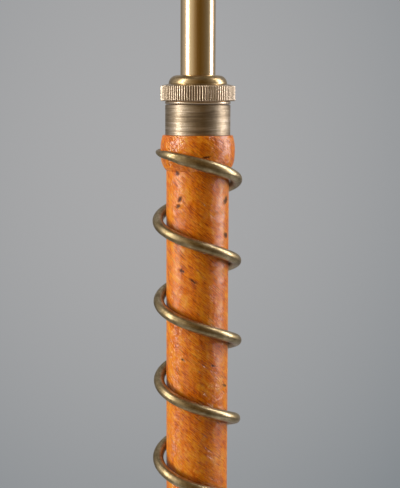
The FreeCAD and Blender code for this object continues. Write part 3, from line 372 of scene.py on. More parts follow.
def softened(points, edge, sharpest=25):
    """The same closed outline with its sharp corners rounded over by about one edge width."""
    rounded = []
    for before, point, after in zip(points[-1:] + points, points, points[1:] + points[:1]):
        back, on = before - point, after - point
        if min(back.length, on.length) < 1e-9 or (
            math.degrees(back.angle(on)) > 180 - sharpest
        ):
            rounded.append(point)
            continue
        cut = min(edge, back.length * 0.45, on.length * 0.45)
        first, last = point + back.normalized() * cut, point + on.normalized() * cut
        rounded += [
            first * (1 - t) ** 2 + point * 2 * t * (1 - t) + last * t * t
            for t in (0, 0.25, 0.5, 0.75, 1)
        ]
    return rounded


def turned(name, corners, columns=192, edge=0.15, surface=None, angles=None, crisp=180):
    """A turned piece, from an outline of corners in millimetres, as curved takes them.
    surface(radius, height, angle) may change the radius round the piece. Edges sharper than
    crisp degrees stay sharp."""
    profile = softened(curved(corners), edge)
    if angles is None:
        angles = [2 * math.pi * k / columns for k in range(columns)]
    shape = bmesh.new()
    rings = []
    for radius, level in profile:
        if radius < 1e-6:
            rings.append([shape.verts.new((0, 0, level * MM))] * len(angles))
            continue
        ring = []
        for angle in angles:
            reach = surface(radius, level, angle) if surface else radius
            point = Vector((reach * math.cos(angle), reach * math.sin(angle), level))
            ring.append(shape.verts.new(point * MM))
        rings.append(ring)
    for lower, upper in zip(rings, rings[1:] + rings[:1]):
        for a, b, c, d in zip(lower, lower[1:] + lower[:1], upper[1:] + upper[:1], upper):
            face = list(dict.fromkeys((a, b, c, d)))
            if len(face) > 2:
                shape.faces.new(face)
    bmesh.ops.recalc_face_normals(shape, faces=shape.faces)
    for face in shape.faces:
        face.smooth = True
    for line in shape.edges:
        line.smooth = math.degrees(line.calc_face_angle(0)) < crisp
    mesh = bpy.data.meshes.new(name)
    shape.to_mesh(mesh)
    shape.free()
    piece = bpy.data.objects.new(name, mesh)
    bpy.context.scene.collection.objects.link(piece)
    even = piece.modifiers.new("even_shading", "WEIGHTED_NORMAL")
    even.weight = 80
    even.keep_sharp = True
    return piece


def fit(piece, body, slot, material, *nodes):
    """Gives a new piece its finish, its body and the CAD nodes that it stands for."""
    piece.data.materials.append(material)
    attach(piece, body)
    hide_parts(*nodes)
    return piece


def brass_finish(name, bright, dull, rough, lines, line_relief, tarnish=0.5, patch=60, **plain):
    """Brass: polishing or lathe lines along one direction, and patches of tarnish."""
    material, tree, shader, where = new_finish(name, Metallic=1.0, **plain)
    drawn = use_group(tree, STREAKS, Vector=where, Stretch=lines)["Mask"]
    patches = use_group(tree, BLOTCHES, Vector=where, Scale=patch, Sharpness=0.3)["Mask"]
    shade = sum_of(tree, "MULTIPLY", patches, tarnish)
    wear = weighed(tree, (drawn, 0.6), (patches, 0.4))
    colour_by(tree, shader, blend_of(tree, shade, bright, dull), wear, *rough)
    raise_by(tree, shader, drawn, line_relief)
    return material


spun_brass = brass_finish(
    "spun_brass", (0.80, 0.56, 0.26, 1), (0.62, 0.42, 0.19, 1), (0.16, 0.3),
    (30, 30, 30), 0.00001, tarnish=0.6, patch=25,
)
cover = turned(
    "foot_cover",
    [
        (140, 2), (140, 16, -6), (134, 22, -700), (46, 26, 12), (34, 38, -4), (30, 42),
        (8.05, 42), (8.05, 40.8), (30, 40.8, 2.8), (32.8, 38, -13.2), (46, 24.8, 700),
        (134, 20.8, 4.8), (138.8, 16), (138.8, 2),
    ],
    columns=360, edge=0.3,
)
fit(cover, "stand", "spun_brass", spun_brass, "base_cover")

# ------------------------------------------------------------------ lead inlet
# A moulded bush snapped into the hole at the back of the rim. Its flange covers the hole.
bush_plastic = plain_finish(
    "moulded_bush", tint(34, 30, 27), tint(44, 39, 35), 300, 0.00005, rough=(0.35, 0.5)
)
bush = turned(
    "lead_inlet_bush",
    [(3.6, -8), (5, -8), (5, 0), (6.2, 0), (6.2, 0.7, -0.7), (5.5, 1.4), (3.6, 1.4)],
    columns=72, edge=0.4,
)
INLET = Matrix.Translation((0, 0.140, 0.009)) @ Matrix.Rotation(math.radians(-90), 4, "X")
bush.data.transform(INLET)
fit(bush, "stand", "bush_plastic", bush_plastic, "lead_bush")
inlet_cutter = turned("inlet_cutter", [(0, -12), (5.02, -12), (5.02, 12), (0, 12)], columns=72)
inlet_cutter.data.transform(INLET)


def cut_out(piece, *cutters):
    """Cuts holes for good, and does away with the cutters."""
    shading = piece.modifiers["even_shading"]
    shading.show_viewport = False
    for cutter in cutters:
        cut = piece.modifiers.new("hole", "BOOLEAN")
        cut.object, cut.solver = cutter, "EXACT"
    now = bpy.context.evaluated_depsgraph_get()
    piece.data = bpy.data.meshes.new_from_object(piece.evaluated_get(now), depsgraph=now)
    for modifier in [m for m in piece.modifiers if m.type == "BOOLEAN"]:
        piece.modifiers.remove(modifier)
    for cutter in cutters:
        bpy.data.objects.remove(cutter)
    shading.show_viewport = True


cut_out(cover, inlet_cutter)

# ------------------------------------------------------------------ foot fastening
# A steel washer and hexagon nut under the ballast draw the brass socket down on the cover.
# The socket is turned from bar: a flange, a small cove and a cup for the stem.
steel_finish = plain_finish(
    "zinc_plated_steel", tint(150, 150, 148), tint(176, 176, 172), 300, 0.00005,
    rough=(0.3, 0.45), Metallic=1.0,
)
dress("foot_washer", steel_finish)
dress("foot_nut", steel_finish)
turned_brass = brass_finish(
    "turned_brass", (0.78, 0.58, 0.33, 1), (0.52, 0.38, 0.20, 1), (0.24, 0.4),
    (25, 25, 9000), 0.000012, tarnish=0.7, patch=90,
)
socket = turned(
    "foot_socket_cup",
    [
        (5, 7), (8, 7), (8, 42), (24, 42), (24, 43.5, -1.5), (22.5, 45), (19.85, 45, 5),
        (14.85, 50), (14.85, 58), (12.32, 58), (12.32, 46), (5, 46),
    ],
    columns=192, edge=0.25,
)
fit(socket, "stand", "turned_brass", turned_brass, "foot_socket")

# ------------------------------------------------------------------ stem
# Beech turned on the lathe with a bead at each end, bored through for the riser tube,
# stained orange and lacquered. The lacquer is thick and wavy, and the wood has dents and
# rubs where the rod was wound on.
STEM_RADIUS = 14.35
# The bead's outline is two arcs. These are its radii, and the depths below its face.
FACE_RADIUS, SHOULDER_RADIUS, ROOT_RADIUS = 16, 16.9, 14.6
SHOULDER_DEPTH, ROOT_DEPTH = 9.5, 16
FACE_ARC, ROOT_ARC = 24, 10
LOWER_FACE, UPPER_FACE = 58, 998
TWIST = 83  # radians that the slanted fibres turn in a metre of height
# The rod's even course round the stem: the painted shade and dust beside it follow it too.
ROD_TOP, ROD_BOTTOM = UPPER_FACE - 4.9, LOWER_FACE + 4.9
ROD_TURNS = 24
ROD_START = math.radians(110)
LEAD, LEAD_DROP = math.radians(250), 15.5
PITCH = (ROD_TOP - ROD_BOTTOM - 2 * LEAD_DROP) / ROD_TURNS
LEVEL_AT_ZERO = ROD_TOP - LEAD_DROP + PITCH * (LEAD + ROD_START) / (2 * math.pi)


def mark_group():
    """One small blemish at a place: a dent, a chip or a rubbed spot with a ragged edge."""
    group, given, result = new_group(
        "mark",
        [("Vector", "Vector", (0, 0, 0)), ("Place", "Vector", (0, 0, 0)),
         ("Size", "Vector", (0.001, 0.001, 0.001)), ("Lean", "Float", 0.0)],
        [("Mask", "Float")],
    )
    ragged = noise_of(group, given["Vector"], 1500, 3)["Color"]
    shifted = vector_of(group, "MULTIPLY_ADD", ragged, (0.002,) * 3, given["Vector"])
    centred = vector_of(group, "SUBTRACT", shifted, (0.001,) * 3)
    away = vector_of(group, "SUBTRACT", centred, given["Place"])
    levelled = place(
        group, "ShaderNodeVectorRotate", {"Vector": away, "Angle": given["Lean"]},
        rotation_type="Y_AXIS",
    ).outputs["Vector"]
    reach = vector_of(group, "LENGTH", vector_of(group, "DIVIDE", levelled, given["Size"]))
    group.links.new(share_of(group, reach, 1.0, 0.45), result["Mask"])
    return group


MARK = mark_group()
lacquered_beech, tree, shader, where = new_finish(
    "lacquered_beech", Coat_Roughness=0.08, Coat_IOR=2.0, Specular_IOR_Level=0.05,
)
split = place(tree, "ShaderNodeSeparateXYZ", {"Vector": where}).outputs
slanted = place(
    tree, "ShaderNodeVectorRotate",
    {"Vector": where, "Angle": sum_of(tree, "MULTIPLY", split["Z"], TWIST)},
    rotation_type="Z_AXIS",
).outputs["Vector"]
grain = use_group(tree, STREAKS, Vector=where, Stretch=(300, 300, 40), Detail=5.0)["Mask"]
fibres = use_group(tree, STREAKS, Vector=slanted, Stretch=(2300, 2300, 420), Detail=2.0)["Mask"]
stain = use_group(tree, BLOTCHES, Vector=slanted, Scale=150, Sharpness=0.2)["Mask"]
tone = weighed(tree, (grain, 0.2), (fibres, 0.46), (stain, 0.34))
wood = ramp(
    tree, tone, (0.22, tint(160, 56, 0)), (0.48, tint(238, 124, 4)), (0.76, tint(255, 178, 44)),
)
pores = vector_of(tree, "MULTIPLY", slanted, (1150, 1150, 230))
pore = place(tree, "ShaderNodeTexVoronoi", {"Vector": pores, "Scale": 1.0})
pore_kept = place(tree, "ShaderNodeSeparateXYZ", {"Vector": pore.outputs["Color"]}).outputs["X"]
pore_middle = share_of(tree, pore.outputs["Distance"], 0.42, 0.15)
pore_mask = sum_of(
    tree, "MULTIPLY", pore_middle, sum_of(tree, "GREATER_THAN", pore_kept, 0.74)
)
wood = blend_of(tree, sum_of(tree, "MULTIPLY", pore_mask, 0.5), wood, tint(118, 52, 10))
# Dents and rubs: degrees to the right of the front, height, half width, half height, lean.
# They reach 8 mm in and out, so that a mark lands on the bead as it does on the shaft.
dents = 0.0
for turn, level, half_width, half_height, lean in (
    (-33, 969.6, 0.99, 1.87, -25), (-37, 966.4, 1.43, 0.99, 35), (63, 968.8, 1.1, 2.64, -15),
    (64, 952.8, 0.99, 1.87, 20), (-28.7, 937.1, 1.54, 0.77, -35),
    (-7.6, 932.8, 2.64, 0.495, -35), (-26.4, 896.1, 1.43, 0.66, -30),
    (30.7, 893.2, 1.65, 0.55, -20), (62, 882.7, 1.98, 0.55, -40), (15.5, 988.6, 2.64, 0.66, 8),
    (-39, 981.2, 0.99, 1.43, 10),
):
    angle = math.radians(turn)
    spot = Vector((STEM_RADIUS * math.sin(angle), -STEM_RADIUS * math.cos(angle), level)) * MM
    mark = use_group(
        tree, MARK, Vector=where, Place=spot, Lean=math.radians(lean),
        Size=Vector((half_width, 8, half_height)) * MM,
    )["Mask"]
    dents = sum_of(tree, "MAXIMUM", dents, mark)
wood = blend_of(tree, sum_of(tree, "MULTIPLY", dents, 0.9), wood, tint(44, 24, 16))
# Painted shade beside the rod, where its shadow falls on the wood, together with the dust and old
# polish that gather along it: the wood is darkened above and under the rod.
unwound = sum_of(
    tree, "MULTIPLY_ADD", sum_of(tree, "ARCTAN2", split["Y"], split["X"]),
    PITCH * MM / (2 * math.pi), split["Z"],
)
from_rod = sum_of(
    tree, "WRAP", sum_of(tree, "SUBTRACT", unwound, LEVEL_AT_ZERO * MM), PITCH * MM / 2,
    -PITCH * MM / 2,
)
shade_and_dust_band = share_of(
    tree, sum_of(tree, "ABSOLUTE", from_rod), 0.0045, 0.0018, interpolation_type="SMOOTHSTEP"
)
on_shaft = sum_of(tree, "LESS_THAN", split["Z"], (UPPER_FACE - 20) * MM)
rod_shade_and_dust = sum_of(tree, "MULTIPLY", sum_of(tree, "MULTIPLY", shade_and_dust_band, on_shaft), 0.6)
wood = blend_of(tree, rod_shade_and_dust, wood, tint(104, 44, 10))
colour_by(tree, shader, wood, fibres, 0.38, 0.55)
worn = use_group(tree, BLOTCHES, Vector=where, Scale=330, Sharpness=0.5)["Mask"]
undented = sum_of(tree, "MULTIPLY_ADD", dents, -0.8, 1)
lacquer = sum_of(tree, "MULTIPLY", between(tree, worn, 0.1, 1.0), undented)
tree.links.new(lacquer, shader.inputs["Coat Weight"])
waves = noise_of(tree, where, 480, 4, 0.6)["Fac"]
relief = weighed(tree, (waves, 1), (fibres, 0.12), (pore_mask, -0.3), (dents, -0.3))
raise_by(tree, shader, relief, 0.00042, coat=True)

stem = turned(
    "turned_stem",
    [
        (8.5, 46), (12.3, 46), (12.3, LOWER_FACE), (FACE_RADIUS, LOWER_FACE, -FACE_ARC),
        (SHOULDER_RADIUS, LOWER_FACE + SHOULDER_DEPTH, -ROOT_ARC),
        (ROOT_RADIUS, LOWER_FACE + ROOT_DEPTH), (STEM_RADIUS, LOWER_FACE + ROOT_DEPTH),
        (STEM_RADIUS, UPPER_FACE - ROOT_DEPTH),
        (ROOT_RADIUS, UPPER_FACE - ROOT_DEPTH, -ROOT_ARC),
        (SHOULDER_RADIUS, UPPER_FACE - SHOULDER_DEPTH, -FACE_ARC), (FACE_RADIUS, UPPER_FACE),
        (12.3, UPPER_FACE), (12.3, 1007), (8.2, 1007),
        (8.2, 887), (8.5, 887),
    ],
    columns=288, edge=0.35,
)
fit(stem, "stand", "lacquered_beech", lacquered_beech, "stem")

# ------------------------------------------------------------------ wound rod
# One brass rod wound by hand round the stem, 24 even turns and a steep lead at each end.
# Each end is hammered to a flat point, laid over the bead and turned in to a hole there.
ROD_RADIUS = 2.5
FULL_TURN = 2 * math.pi * ROD_TURNS + 2 * LEAD
CENTRE_RADIUS = STEM_RADIUS + 1.1 + ROD_RADIUS
BEND = 1.9
PEG = 4.9
# Where the rod lies on the bead, an arc of this radius stands for the bead's profile. Its
# middle is this far from the axis and this far below the tip.
BEAD_ARC, BEAD_MIDDLE, BEAD_DEPTH = 17.8, -0.7, 2.9


def rod_fall(near):
    """Depth below the nearer tip, in millimetres: a lead that steepens, then an even pitch."""
    pitch_drop = PITCH * LEAD / (2 * math.pi)
    share = near / LEAD
    if share < 1:
        return (2 * LEAD_DROP - pitch_drop) * share + (pitch_drop - LEAD_DROP) * share**2
    return LEAD_DROP + pitch_drop * (share - 1)


def eased(stations, value):
    """Goes smoothly from station to station, each a pair of a value and its result."""
    for (first, low), (last, high) in zip(stations, stations[1:]):
        if value < last:
            share = max(0, (value - first) / (last - first))
            return low + (high - low) * share * share * (3 - 2 * share)
    return stations[-1][1]


def rod_section(near):
    """Half thickness outwards and half width across: a point, a flat spear, the round rod."""
    turned_by = math.degrees(near)
    thick = eased(((0, 0.75), (60, 0.85), (130, 1.75), (230, ROD_RADIUS)), turned_by)
    wide = eased(
        ((0, 0.7), (60, 0.75), (85, 1.2), (116, 1.95), (145, 2.6), (178, 2.9), (198, 2.9),
         (225, ROD_RADIUS)),
        turned_by,
    )
    return thick, wide


def hammered(near):
    """How far the hammered end strays downwards from its even lead."""
    return eased(
        ((0, 4.5), (60, 0.7), (90, 0), (118, -0.8), (148, -0.6), (175, -0.2), (200, 0)),
        math.degrees(near),
    )


def rod_point(angle):
    """The rod's middle at an angle from its upper tip: on the bead, or round the shaft."""
    near = min(angle, FULL_TURN - angle)
    fall = rod_fall(near) + hammered(near)
    reach = BEAD_ARC + rod_section(near)[0] + 0.06
    bead = BEAD_MIDDLE + math.sqrt(reach**2 - min(fall - BEAD_DEPTH, reach) ** 2)
    lift = bead - CENTRE_RADIUS
    radius = CENTRE_RADIUS + (lift + math.hypot(lift, 0.5)) / 2
    level = ROD_TOP - fall if angle < FULL_TURN / 2 else ROD_BOTTOM + fall
    loose = max(near - LEAD, 0) ** 2
    drift = -0.3 * loose / (1 + loose) * math.cos((angle - 6.5) / 3.5)
    way = ROD_START + angle
    return Vector((drift + radius * math.cos(way), radius * math.sin(way), level))


def outwards(point):
    """The level direction from the stem's axis to a point."""
    return Vector((point.x, point.y, 0)).normalized()


def turned_in(angle, way):
    """The quarter bend and the peg, from the tip inwards: points, and the rod's outer side."""
    start = rod_point(angle)
    along = (rod_point(angle) - rod_point(angle + way * 1e-3)).normalized()
    out = outwards(start)
    stations = []
    for t in (math.pi / 2 * k / 8 for k in range(1, 9)):
        step = along * math.sin(t) - out * (1 - math.cos(t))
        stations.append((start + step * BEND, out * math.cos(t) + along * math.sin(t)))
    end, side = stations[-1]
    return stations + [(end - out * PEG, side)]


def swept(name, stations, sections, sides=24, closed=False):
    """A rod along (point, outer side) stations in millimetres, with an oval section at each.
    For the finish, rod_way keeps two numbers across the rod and one along it."""
    shape = bmesh.new()
    layer = shape.verts.layers.float_vector.new("rod_way")
    rings = []
    travelled = 0.0
    count = len(stations)
    for k, ((point, out), (thick, wide)) in enumerate(zip(stations, sections)):
        after = (k + 1) % count if closed else min(k + 1, count - 1)
        before = k - 1 if closed else max(k - 1, 0)
        tangent = (stations[after][0] - stations[before][0]).normalized()
        normal = (out - tangent * out.dot(tangent)).normalized()
        side = tangent.cross(normal)
        if k:
            travelled += (point - stations[k - 1][0]).length
        ring = []
        for turn in (2 * math.pi * j / sides for j in range(sides)):
            across, up = thick * math.cos(turn), wide * math.sin(turn)
            vert = shape.verts.new((point + normal * across + side * up) * MM)
            vert[layer] = Vector((across, up, travelled)) * MM
            ring.append(vert)
        rings.append(ring)
    for lower, upper in zip(rings, rings[1:] + rings[:1] if closed else rings[1:]):
        for a, b, c, d in zip(lower, lower[1:] + lower[:1], upper[1:] + upper[:1], upper):
            shape.faces.new((a, b, c, d))
    if not closed:
        shape.faces.new(rings[0][::-1])
        shape.faces.new(rings[-1])
    bmesh.ops.recalc_face_normals(shape, faces=shape.faces)
    for face in shape.faces:
        face.smooth = len(face.verts) == 4
    mesh = bpy.data.meshes.new(name)
    shape.to_mesh(mesh)
    shape.free()
    piece = bpy.data.objects.new(name, mesh)
    bpy.context.scene.collection.objects.link(piece)
    return piece


rod_steps = 2600
rod_angles = [FULL_TURN * k / rod_steps for k in range(rod_steps + 1)]
rod_stations = (
    turned_in(0, 1)[::-1]
    + [(point, outwards(point)) for point in map(rod_point, rod_angles)]
    + turned_in(FULL_TURN, -1)
)
peg_sections = [rod_section(0)] * len(turned_in(0, 1))
rod_sections = (
    peg_sections + [rod_section(min(a, FULL_TURN - a)) for a in rod_angles] + peg_sections
)
rod = swept("wound_rod", rod_stations, rod_sections, sides=28)
patinated_rod, tree, shader, where = new_finish("patinated_rod", Metallic=1.0)
along = place(
    tree, "ShaderNodeAttribute", attribute_name="rod_way", attribute_type="GEOMETRY"
).outputs["Vector"]
drawn = use_group(tree, STREAKS, Vector=along, Stretch=(2600, 2600, 140), Detail=4.0)["Mask"]
patches = use_group(tree, BLOTCHES, Vector=along, Scale=260, Sharpness=0.45)["Mask"]
tone = weighed(tree, (patches, 0.65), (drawn, 0.35))
patina = ramp(
    tree, tone,
    (0.1, (0.18, 0.13, 0.06, 1)), (0.5, (0.37, 0.28, 0.15, 1)), (0.9, (0.62, 0.51, 0.32, 1)),
)
wear = weighed(tree, (drawn, 0.5), (patches, 0.5))
colour_by(tree, shader, patina, wear, 0.46, 0.27)
raise_by(tree, shader, drawn, 0.00002)
fit(rod, "stand", "rod_brass", patinated_rod, "spiral_rod")

# ------------------------------------------------------------------ ferrule
# Turned brass collar over the stem's upper tenon, left as the lathe left it, with fine
# rings and darker bands all the way round. Its threaded neck stands up inside the nut.
ferrule_brass, tree, shader, where = new_finish("ferrule_brass", Metallic=1.0)
tipped = place(
    tree, "ShaderNodeVectorRotate", {"Vector": where, "Angle": math.radians(3)},
    rotation_type="Y_AXIS",
).outputs["Vector"]
rings = use_group(tree, STREAKS, Vector=where, Stretch=(45, 45, 5200), Detail=5.0)["Mask"]
scores = use_group(tree, STREAKS, Vector=tipped, Stretch=(110, 110, 2600), Detail=3.0)["Mask"]
bands = use_group(tree, STREAKS, Vector=tipped, Stretch=(50, 50, 620), Detail=3.0)["Mask"]
handled = use_group(tree, BLOTCHES, Vector=where, Scale=130, Sharpness=0.2)["Mask"]
tone = weighed(tree, (rings, 0.25), (scores, 0.2), (bands, 0.35), (handled, 0.2))
colour = ramp(
    tree, tone, (0.25, (0.20, 0.15, 0.10, 1)), (0.5, (0.37, 0.29, 0.20, 1)),
    (0.75, (0.60, 0.50, 0.40, 1)),
)
colour_by(tree, shader, colour, tone, 0.52, 0.33)
relief = weighed(tree, (rings, 0.4), (scores, 0.7), (bands, 1))
raise_by(tree, shader, relief, 0.00006)
FERRULE_TOP = 1011.8
ferrule = turned(
    "clamp_ferrule",
    [
        (12.32, 998), (14.85, 998), (14.85, FERRULE_TOP - 0.3), (14.55, FERRULE_TOP),
        (11.5, FERRULE_TOP), (11.5, 1018.8), (10.4, 1018.8), (8.2, 1016.6), (8.2, 1007.02),
        (12.32, 1007.02),
    ],
    columns=288, edge=0.2,
)
fit(ferrule, "stand", "turned_brass", ferrule_brass, "stem_ferrule")

# ------------------------------------------------------------------ collet and clamp nut
# Inside, a split brass ring grips the tube. The nut squeezes it: a rounded lip, a grip with
# 90 straight knurls cut on the lathe, and a domed top. Hands keep the knurls bright.
collet_brass = brass_finish(
    "collet_brass", (0.78, 0.60, 0.36, 1), (0.6, 0.45, 0.25, 1), (0.25, 0.4),
    (30, 30, 6000), 0.00001,
)
dress("clamp_collet", collet_brass)
NUT_FOOT = FERRULE_TOP + 0.15
LIP_TOP = NUT_FOOT + 1.45
GRIP_TOP = LIP_TOP + 6.9
DOME_FOOT = GRIP_TOP + 0.8
DOME_TOP = DOME_FOOT + 3.9
GRIP_RADIUS = 17
GROOVES, GROOVE_DEPTH = 90, 0.42

nut_brass, tree, shader, where = new_finish("nut_brass", Metallic=1.0)
level = place(tree, "ShaderNodeSeparateXYZ", {"Vector": where}).outputs["Z"]
handled = use_group(tree, BLOTCHES, Vector=where, Scale=230, Sharpness=0.2)["Mask"]
rings = use_group(tree, STREAKS, Vector=where, Stretch=(60, 60, 4200), Detail=4.0)["Mask"]
mottle = weighed(tree, (handled, 0.6), (rings, 0.4))
bright_brass = ramp(
    tree, mottle, (0.1, (0.50, 0.39, 0.27, 1)), (0.6, (0.76, 0.62, 0.47, 1)),
)
dulled_brass = ramp(
    tree, mottle, (0.2, (0.24, 0.16, 0.06, 1)), (0.7, (0.64, 0.48, 0.28, 1)),
)
above_grip = share_of(tree, level, (GRIP_TOP - 0.1) * MM, (GRIP_TOP + 0.5) * MM)
from_axis = vector_of(tree, "LENGTH", vector_of(tree, "MULTIPLY", where, (1, 1, 0)))
# The knurls are made darker towards their groove bottoms.
in_groove = share_of(
    tree, from_axis, (GRIP_RADIUS - 0.12) * MM, (GRIP_RADIUS - GROOVE_DEPTH) * MM
)
on_grip = share_of(tree, from_axis, (GRIP_RADIUS - 0.5) * MM, (GRIP_RADIUS - 0.45) * MM)
groove_darkening = sum_of(tree, "MULTIPLY", sum_of(tree, "MULTIPLY", in_groove, on_grip), 0.65)
gripped = blend_of(tree, groove_darkening, bright_brass, (0.10, 0.06, 0.03, 1))
colour = blend_of(tree, above_grip, gripped, dulled_brass)
colour_by(tree, shader, colour, mottle, 0.38, 0.22)
raise_by(tree, shader, mottle, 0.00004)

groove_width = 2 * math.pi * GRIP_RADIUS / GROOVES
nut_angles, groove_depths = [], {}
for k in range(GROOVES):
    for x in (-0.42, -0.35, -0.2, 0, 0.2, 0.35, 0.42, groove_width / 2):
        angle = (k * groove_width + x) / GRIP_RADIUS
        nut_angles.append(angle)
        groove_depths[angle] = max(GROOVE_DEPTH - abs(x), 0)


def knurled(radius, level, angle):
    """V grooves down the grip, which also notch its two bevels."""
    if level >= LIP_TOP and radius > GRIP_RADIUS - GROOVE_DEPTH:
        return min(radius, GRIP_RADIUS - groove_depths[angle])
    return radius


nut = turned(
    "knurled_nut",
    [
        (11.6, NUT_FOOT), (14.5, NUT_FOOT, -0.8), (14.5, LIP_TOP),
        (GRIP_RADIUS - 0.35, LIP_TOP), (GRIP_RADIUS, LIP_TOP + 0.35),
        (GRIP_RADIUS, GRIP_TOP - 0.35), (GRIP_RADIUS - 0.35, GRIP_TOP), (13.3, DOME_FOOT, -3.9),
        (9.4, DOME_TOP), (8.2, DOME_TOP), (8.2, NUT_FOOT + 10.15), (8.85, NUT_FOOT + 10.05),
        (10.35, NUT_FOOT + 7.75), (11.6, NUT_FOOT + 7.75),
    ],
    edge=0.12, surface=knurled, angles=nut_angles, crisp=50,
)
fit(nut, "nut", "nut_brass", nut_brass, "clamp_nut")

# ------------------------------------------------------------------ riser tube and guide
# Standard 16 mm brass tube, polished along its length and lacquered. A fibre bush in its
# lower end steadies it inside the stem.
fibre_finish = plain_finish(
    "red_fibre", tint(96, 42, 30), tint(120, 56, 40), 400, 0.0001, rough=(0.55, 0.7)
)
dress("tube_guide", fibre_finish)
tube_brass = brass_finish(
    "tube_brass", (0.80, 0.61, 0.36, 1), (0.64, 0.46, 0.24, 1), (0.2, 0.28),
    (1600, 1600, 14), 0.000004, tarnish=0.5, patch=45, Coat_Weight=0.7, Coat_Roughness=0.09,
)
tube = turned(
    "riser_tube_brass", [(7, 631.8), (8, 631.8), (8, 1311.8), (7, 1311.8)],
    columns=192, edge=0.2,
)
fit(tube, "riser", "tube_brass", tube_brass, "riser_tube")

# ------------------------------------------------------------------ tube's upper end
# A brass plug pressed into the tube, a threaded nipple through it, and a lock ring that
# clamps the lamp holder on it.
plug = turned(
    "tube_end_plug",
    [(5.02, 1297.8), (6.98, 1297.8), (6.98, 1311.8), (8, 1311.8), (8, 1313.8), (5.02, 1313.8)],
    columns=144, edge=0.2,
)
fit(plug, "riser", "turned_brass", turned_brass, "tube_plug")
dress("holder_nipple", turned_brass)
lock = turned(
    "lock_ring_brass", [(5.02, 1313.8), (10.5, 1313.8, -4), (10.5, 1317.8), (5.02, 1317.8)],
    columns=144, edge=0.25,
)
fit(lock, "riser", "turned_brass", turned_brass, "lock_ring")

# ------------------------------------------------------------------ lamp holder
# Spun brass cap, and a drawn shell with a coarse rolled thread outside for the shade's
# rings. A porcelain block carries the contacts and a porcelain rim closes the mouth.
holder_brass = brass_finish(
    "holder_brass", (0.80, 0.59, 0.30, 1), (0.6, 0.43, 0.2, 1), (0.2, 0.34),
    (40, 40, 2600), 0.00001, tarnish=0.5, patch=80,
)
cap = turned(
    "holder_bell",
    [
        (5.02, 1317.8), (9, 1317.8), (9, 1321.8, -14.7), (20.5, 1335.8), (20.5, 1339.8),
        (19.52, 1339.8), (19.52, 1335.8, 14.7), (8, 1322.8), (8, 1319.8), (5.02, 1319.8),
    ],
    columns=192, edge=0.25,
)
fit(cap, "riser", "holder_brass", holder_brass, "holder_cap")
SHELL_RADIUS, SHELL_FOOT, SHELL_TOP = 19.5, 1335.8, 1375.8
THREAD_PITCH, THREAD_DEPTH = 2.4, 0.44
THREAD_FOOT, THREAD_TOP = 1343, 1374.5
SWITCH_LEVEL = 1342.8


def rolled_thread(radius, level, angle):
    """A shallow round thread, pressed into the shell below its mouth."""
    if radius < SHELL_RADIUS - 0.3 or not THREAD_FOOT < level < THREAD_TOP:
        return radius
    turn = level / THREAD_PITCH - angle / (2 * math.pi)
    return radius - THREAD_DEPTH / 2 * (1 - math.cos(2 * math.pi * turn))


shell_levels = [SHELL_FOOT] + [THREAD_FOOT - 1 + 0.3 * k for k in range(112)] + [SHELL_TOP]
shell = turned(
    "threaded_shell",
    [(SHELL_RADIUS, level) for level in shell_levels] + [(18.6, SHELL_TOP), (18.6, SHELL_FOOT)],
    columns=96, edge=0.15, surface=rolled_thread,
)
spindle_cutter = turned("spindle_cutter", [(0, 15), (2.1, 15), (2.1, 25), (0, 25)], columns=48)
spindle_cutter.data.transform(
    Matrix.Translation((0, 0, SWITCH_LEVEL * MM)) @ Matrix.Rotation(math.radians(90), 4, "Y")
)
fit(shell, "riser", "holder_brass", holder_brass, "holder_shell")
cut_out(shell, spindle_cutter)
porcelain = plain_finish(
    "glazed_porcelain", tint(226, 222, 212), tint(236, 233, 225), 60, 0.00003,
    rough=(0.12, 0.22), Coat_Weight=0.6, Coat_Roughness=0.06,
)
dress("holder_insulator", porcelain)
dress("thread_shell", holder_brass)
dress("contact_tongue", holder_brass)
rim = turned(
    "porcelain_rim",
    [
        (14.32, 1370.8), (18.58, 1370.8), (18.58, 1375.8), (19.5, 1375.8), (19.5, 1377.3, -1.5),
        (18, 1378.8), (14.32, 1378.8),
    ],
    columns=144, edge=0.5,
)
fit(rim, "riser", "porcelain", porcelain, "holder_rim")

# ------------------------------------------------------------------ switch
# A steel spindle through the holder's side turns the contacts. The key on its end is
# moulded in dark brown plastic, a round hub with a thin wing to turn it by.
dress("switch_spindle", steel_finish)
key_plastic = plain_finish(
    "moulded_key", tint(46, 30, 20), tint(60, 40, 28), 220, 0.00003, rough=(0.25, 0.4)
)
dress("switch_key", key_plastic)

# ------------------------------------------------------------------ shade rings
# A fixed ring under the shade's carrier, and a nut ring with scalloped edge that clamps it.
seat_ring = turned(
    "seat_ring_brass",
    [(19.52, 1357.8), (21.5, 1357.8, -2), (23.5, 1359.8), (23.5, 1361.8), (19.52, 1361.8)],
    columns=192, edge=0.2,
)
fit(seat_ring, "riser", "holder_brass", holder_brass, "shade_seat_ring")
HOLLOWS, HOLLOW_CENTRE, HOLLOW_RADIUS = 18, 24.8, 1.6


def scalloped(radius, level, angle):
    """Round hollows in the ring's edge, for the fingers."""
    if radius < 22:
        return radius
    half_step = math.pi / HOLLOWS
    across = (angle + half_step) % (2 * half_step) - half_step
    reach = HOLLOW_CENTRE * math.sin(abs(across))
    if reach >= HOLLOW_RADIUS:
        return radius
    middle = HOLLOW_CENTRE * math.cos(across)
    return min(radius, middle - math.sqrt(HOLLOW_RADIUS**2 - reach**2))


nut_ring = turned(
    "scalloped_ring", [(19.55, 1363.45), (24, 1363.45), (24, 1368.45), (19.55, 1368.45)],
    columns=540, edge=0.5, surface=scalloped,
)
fit(nut_ring, "ring_nut", "holder_brass", holder_brass, "shade_nut_ring")

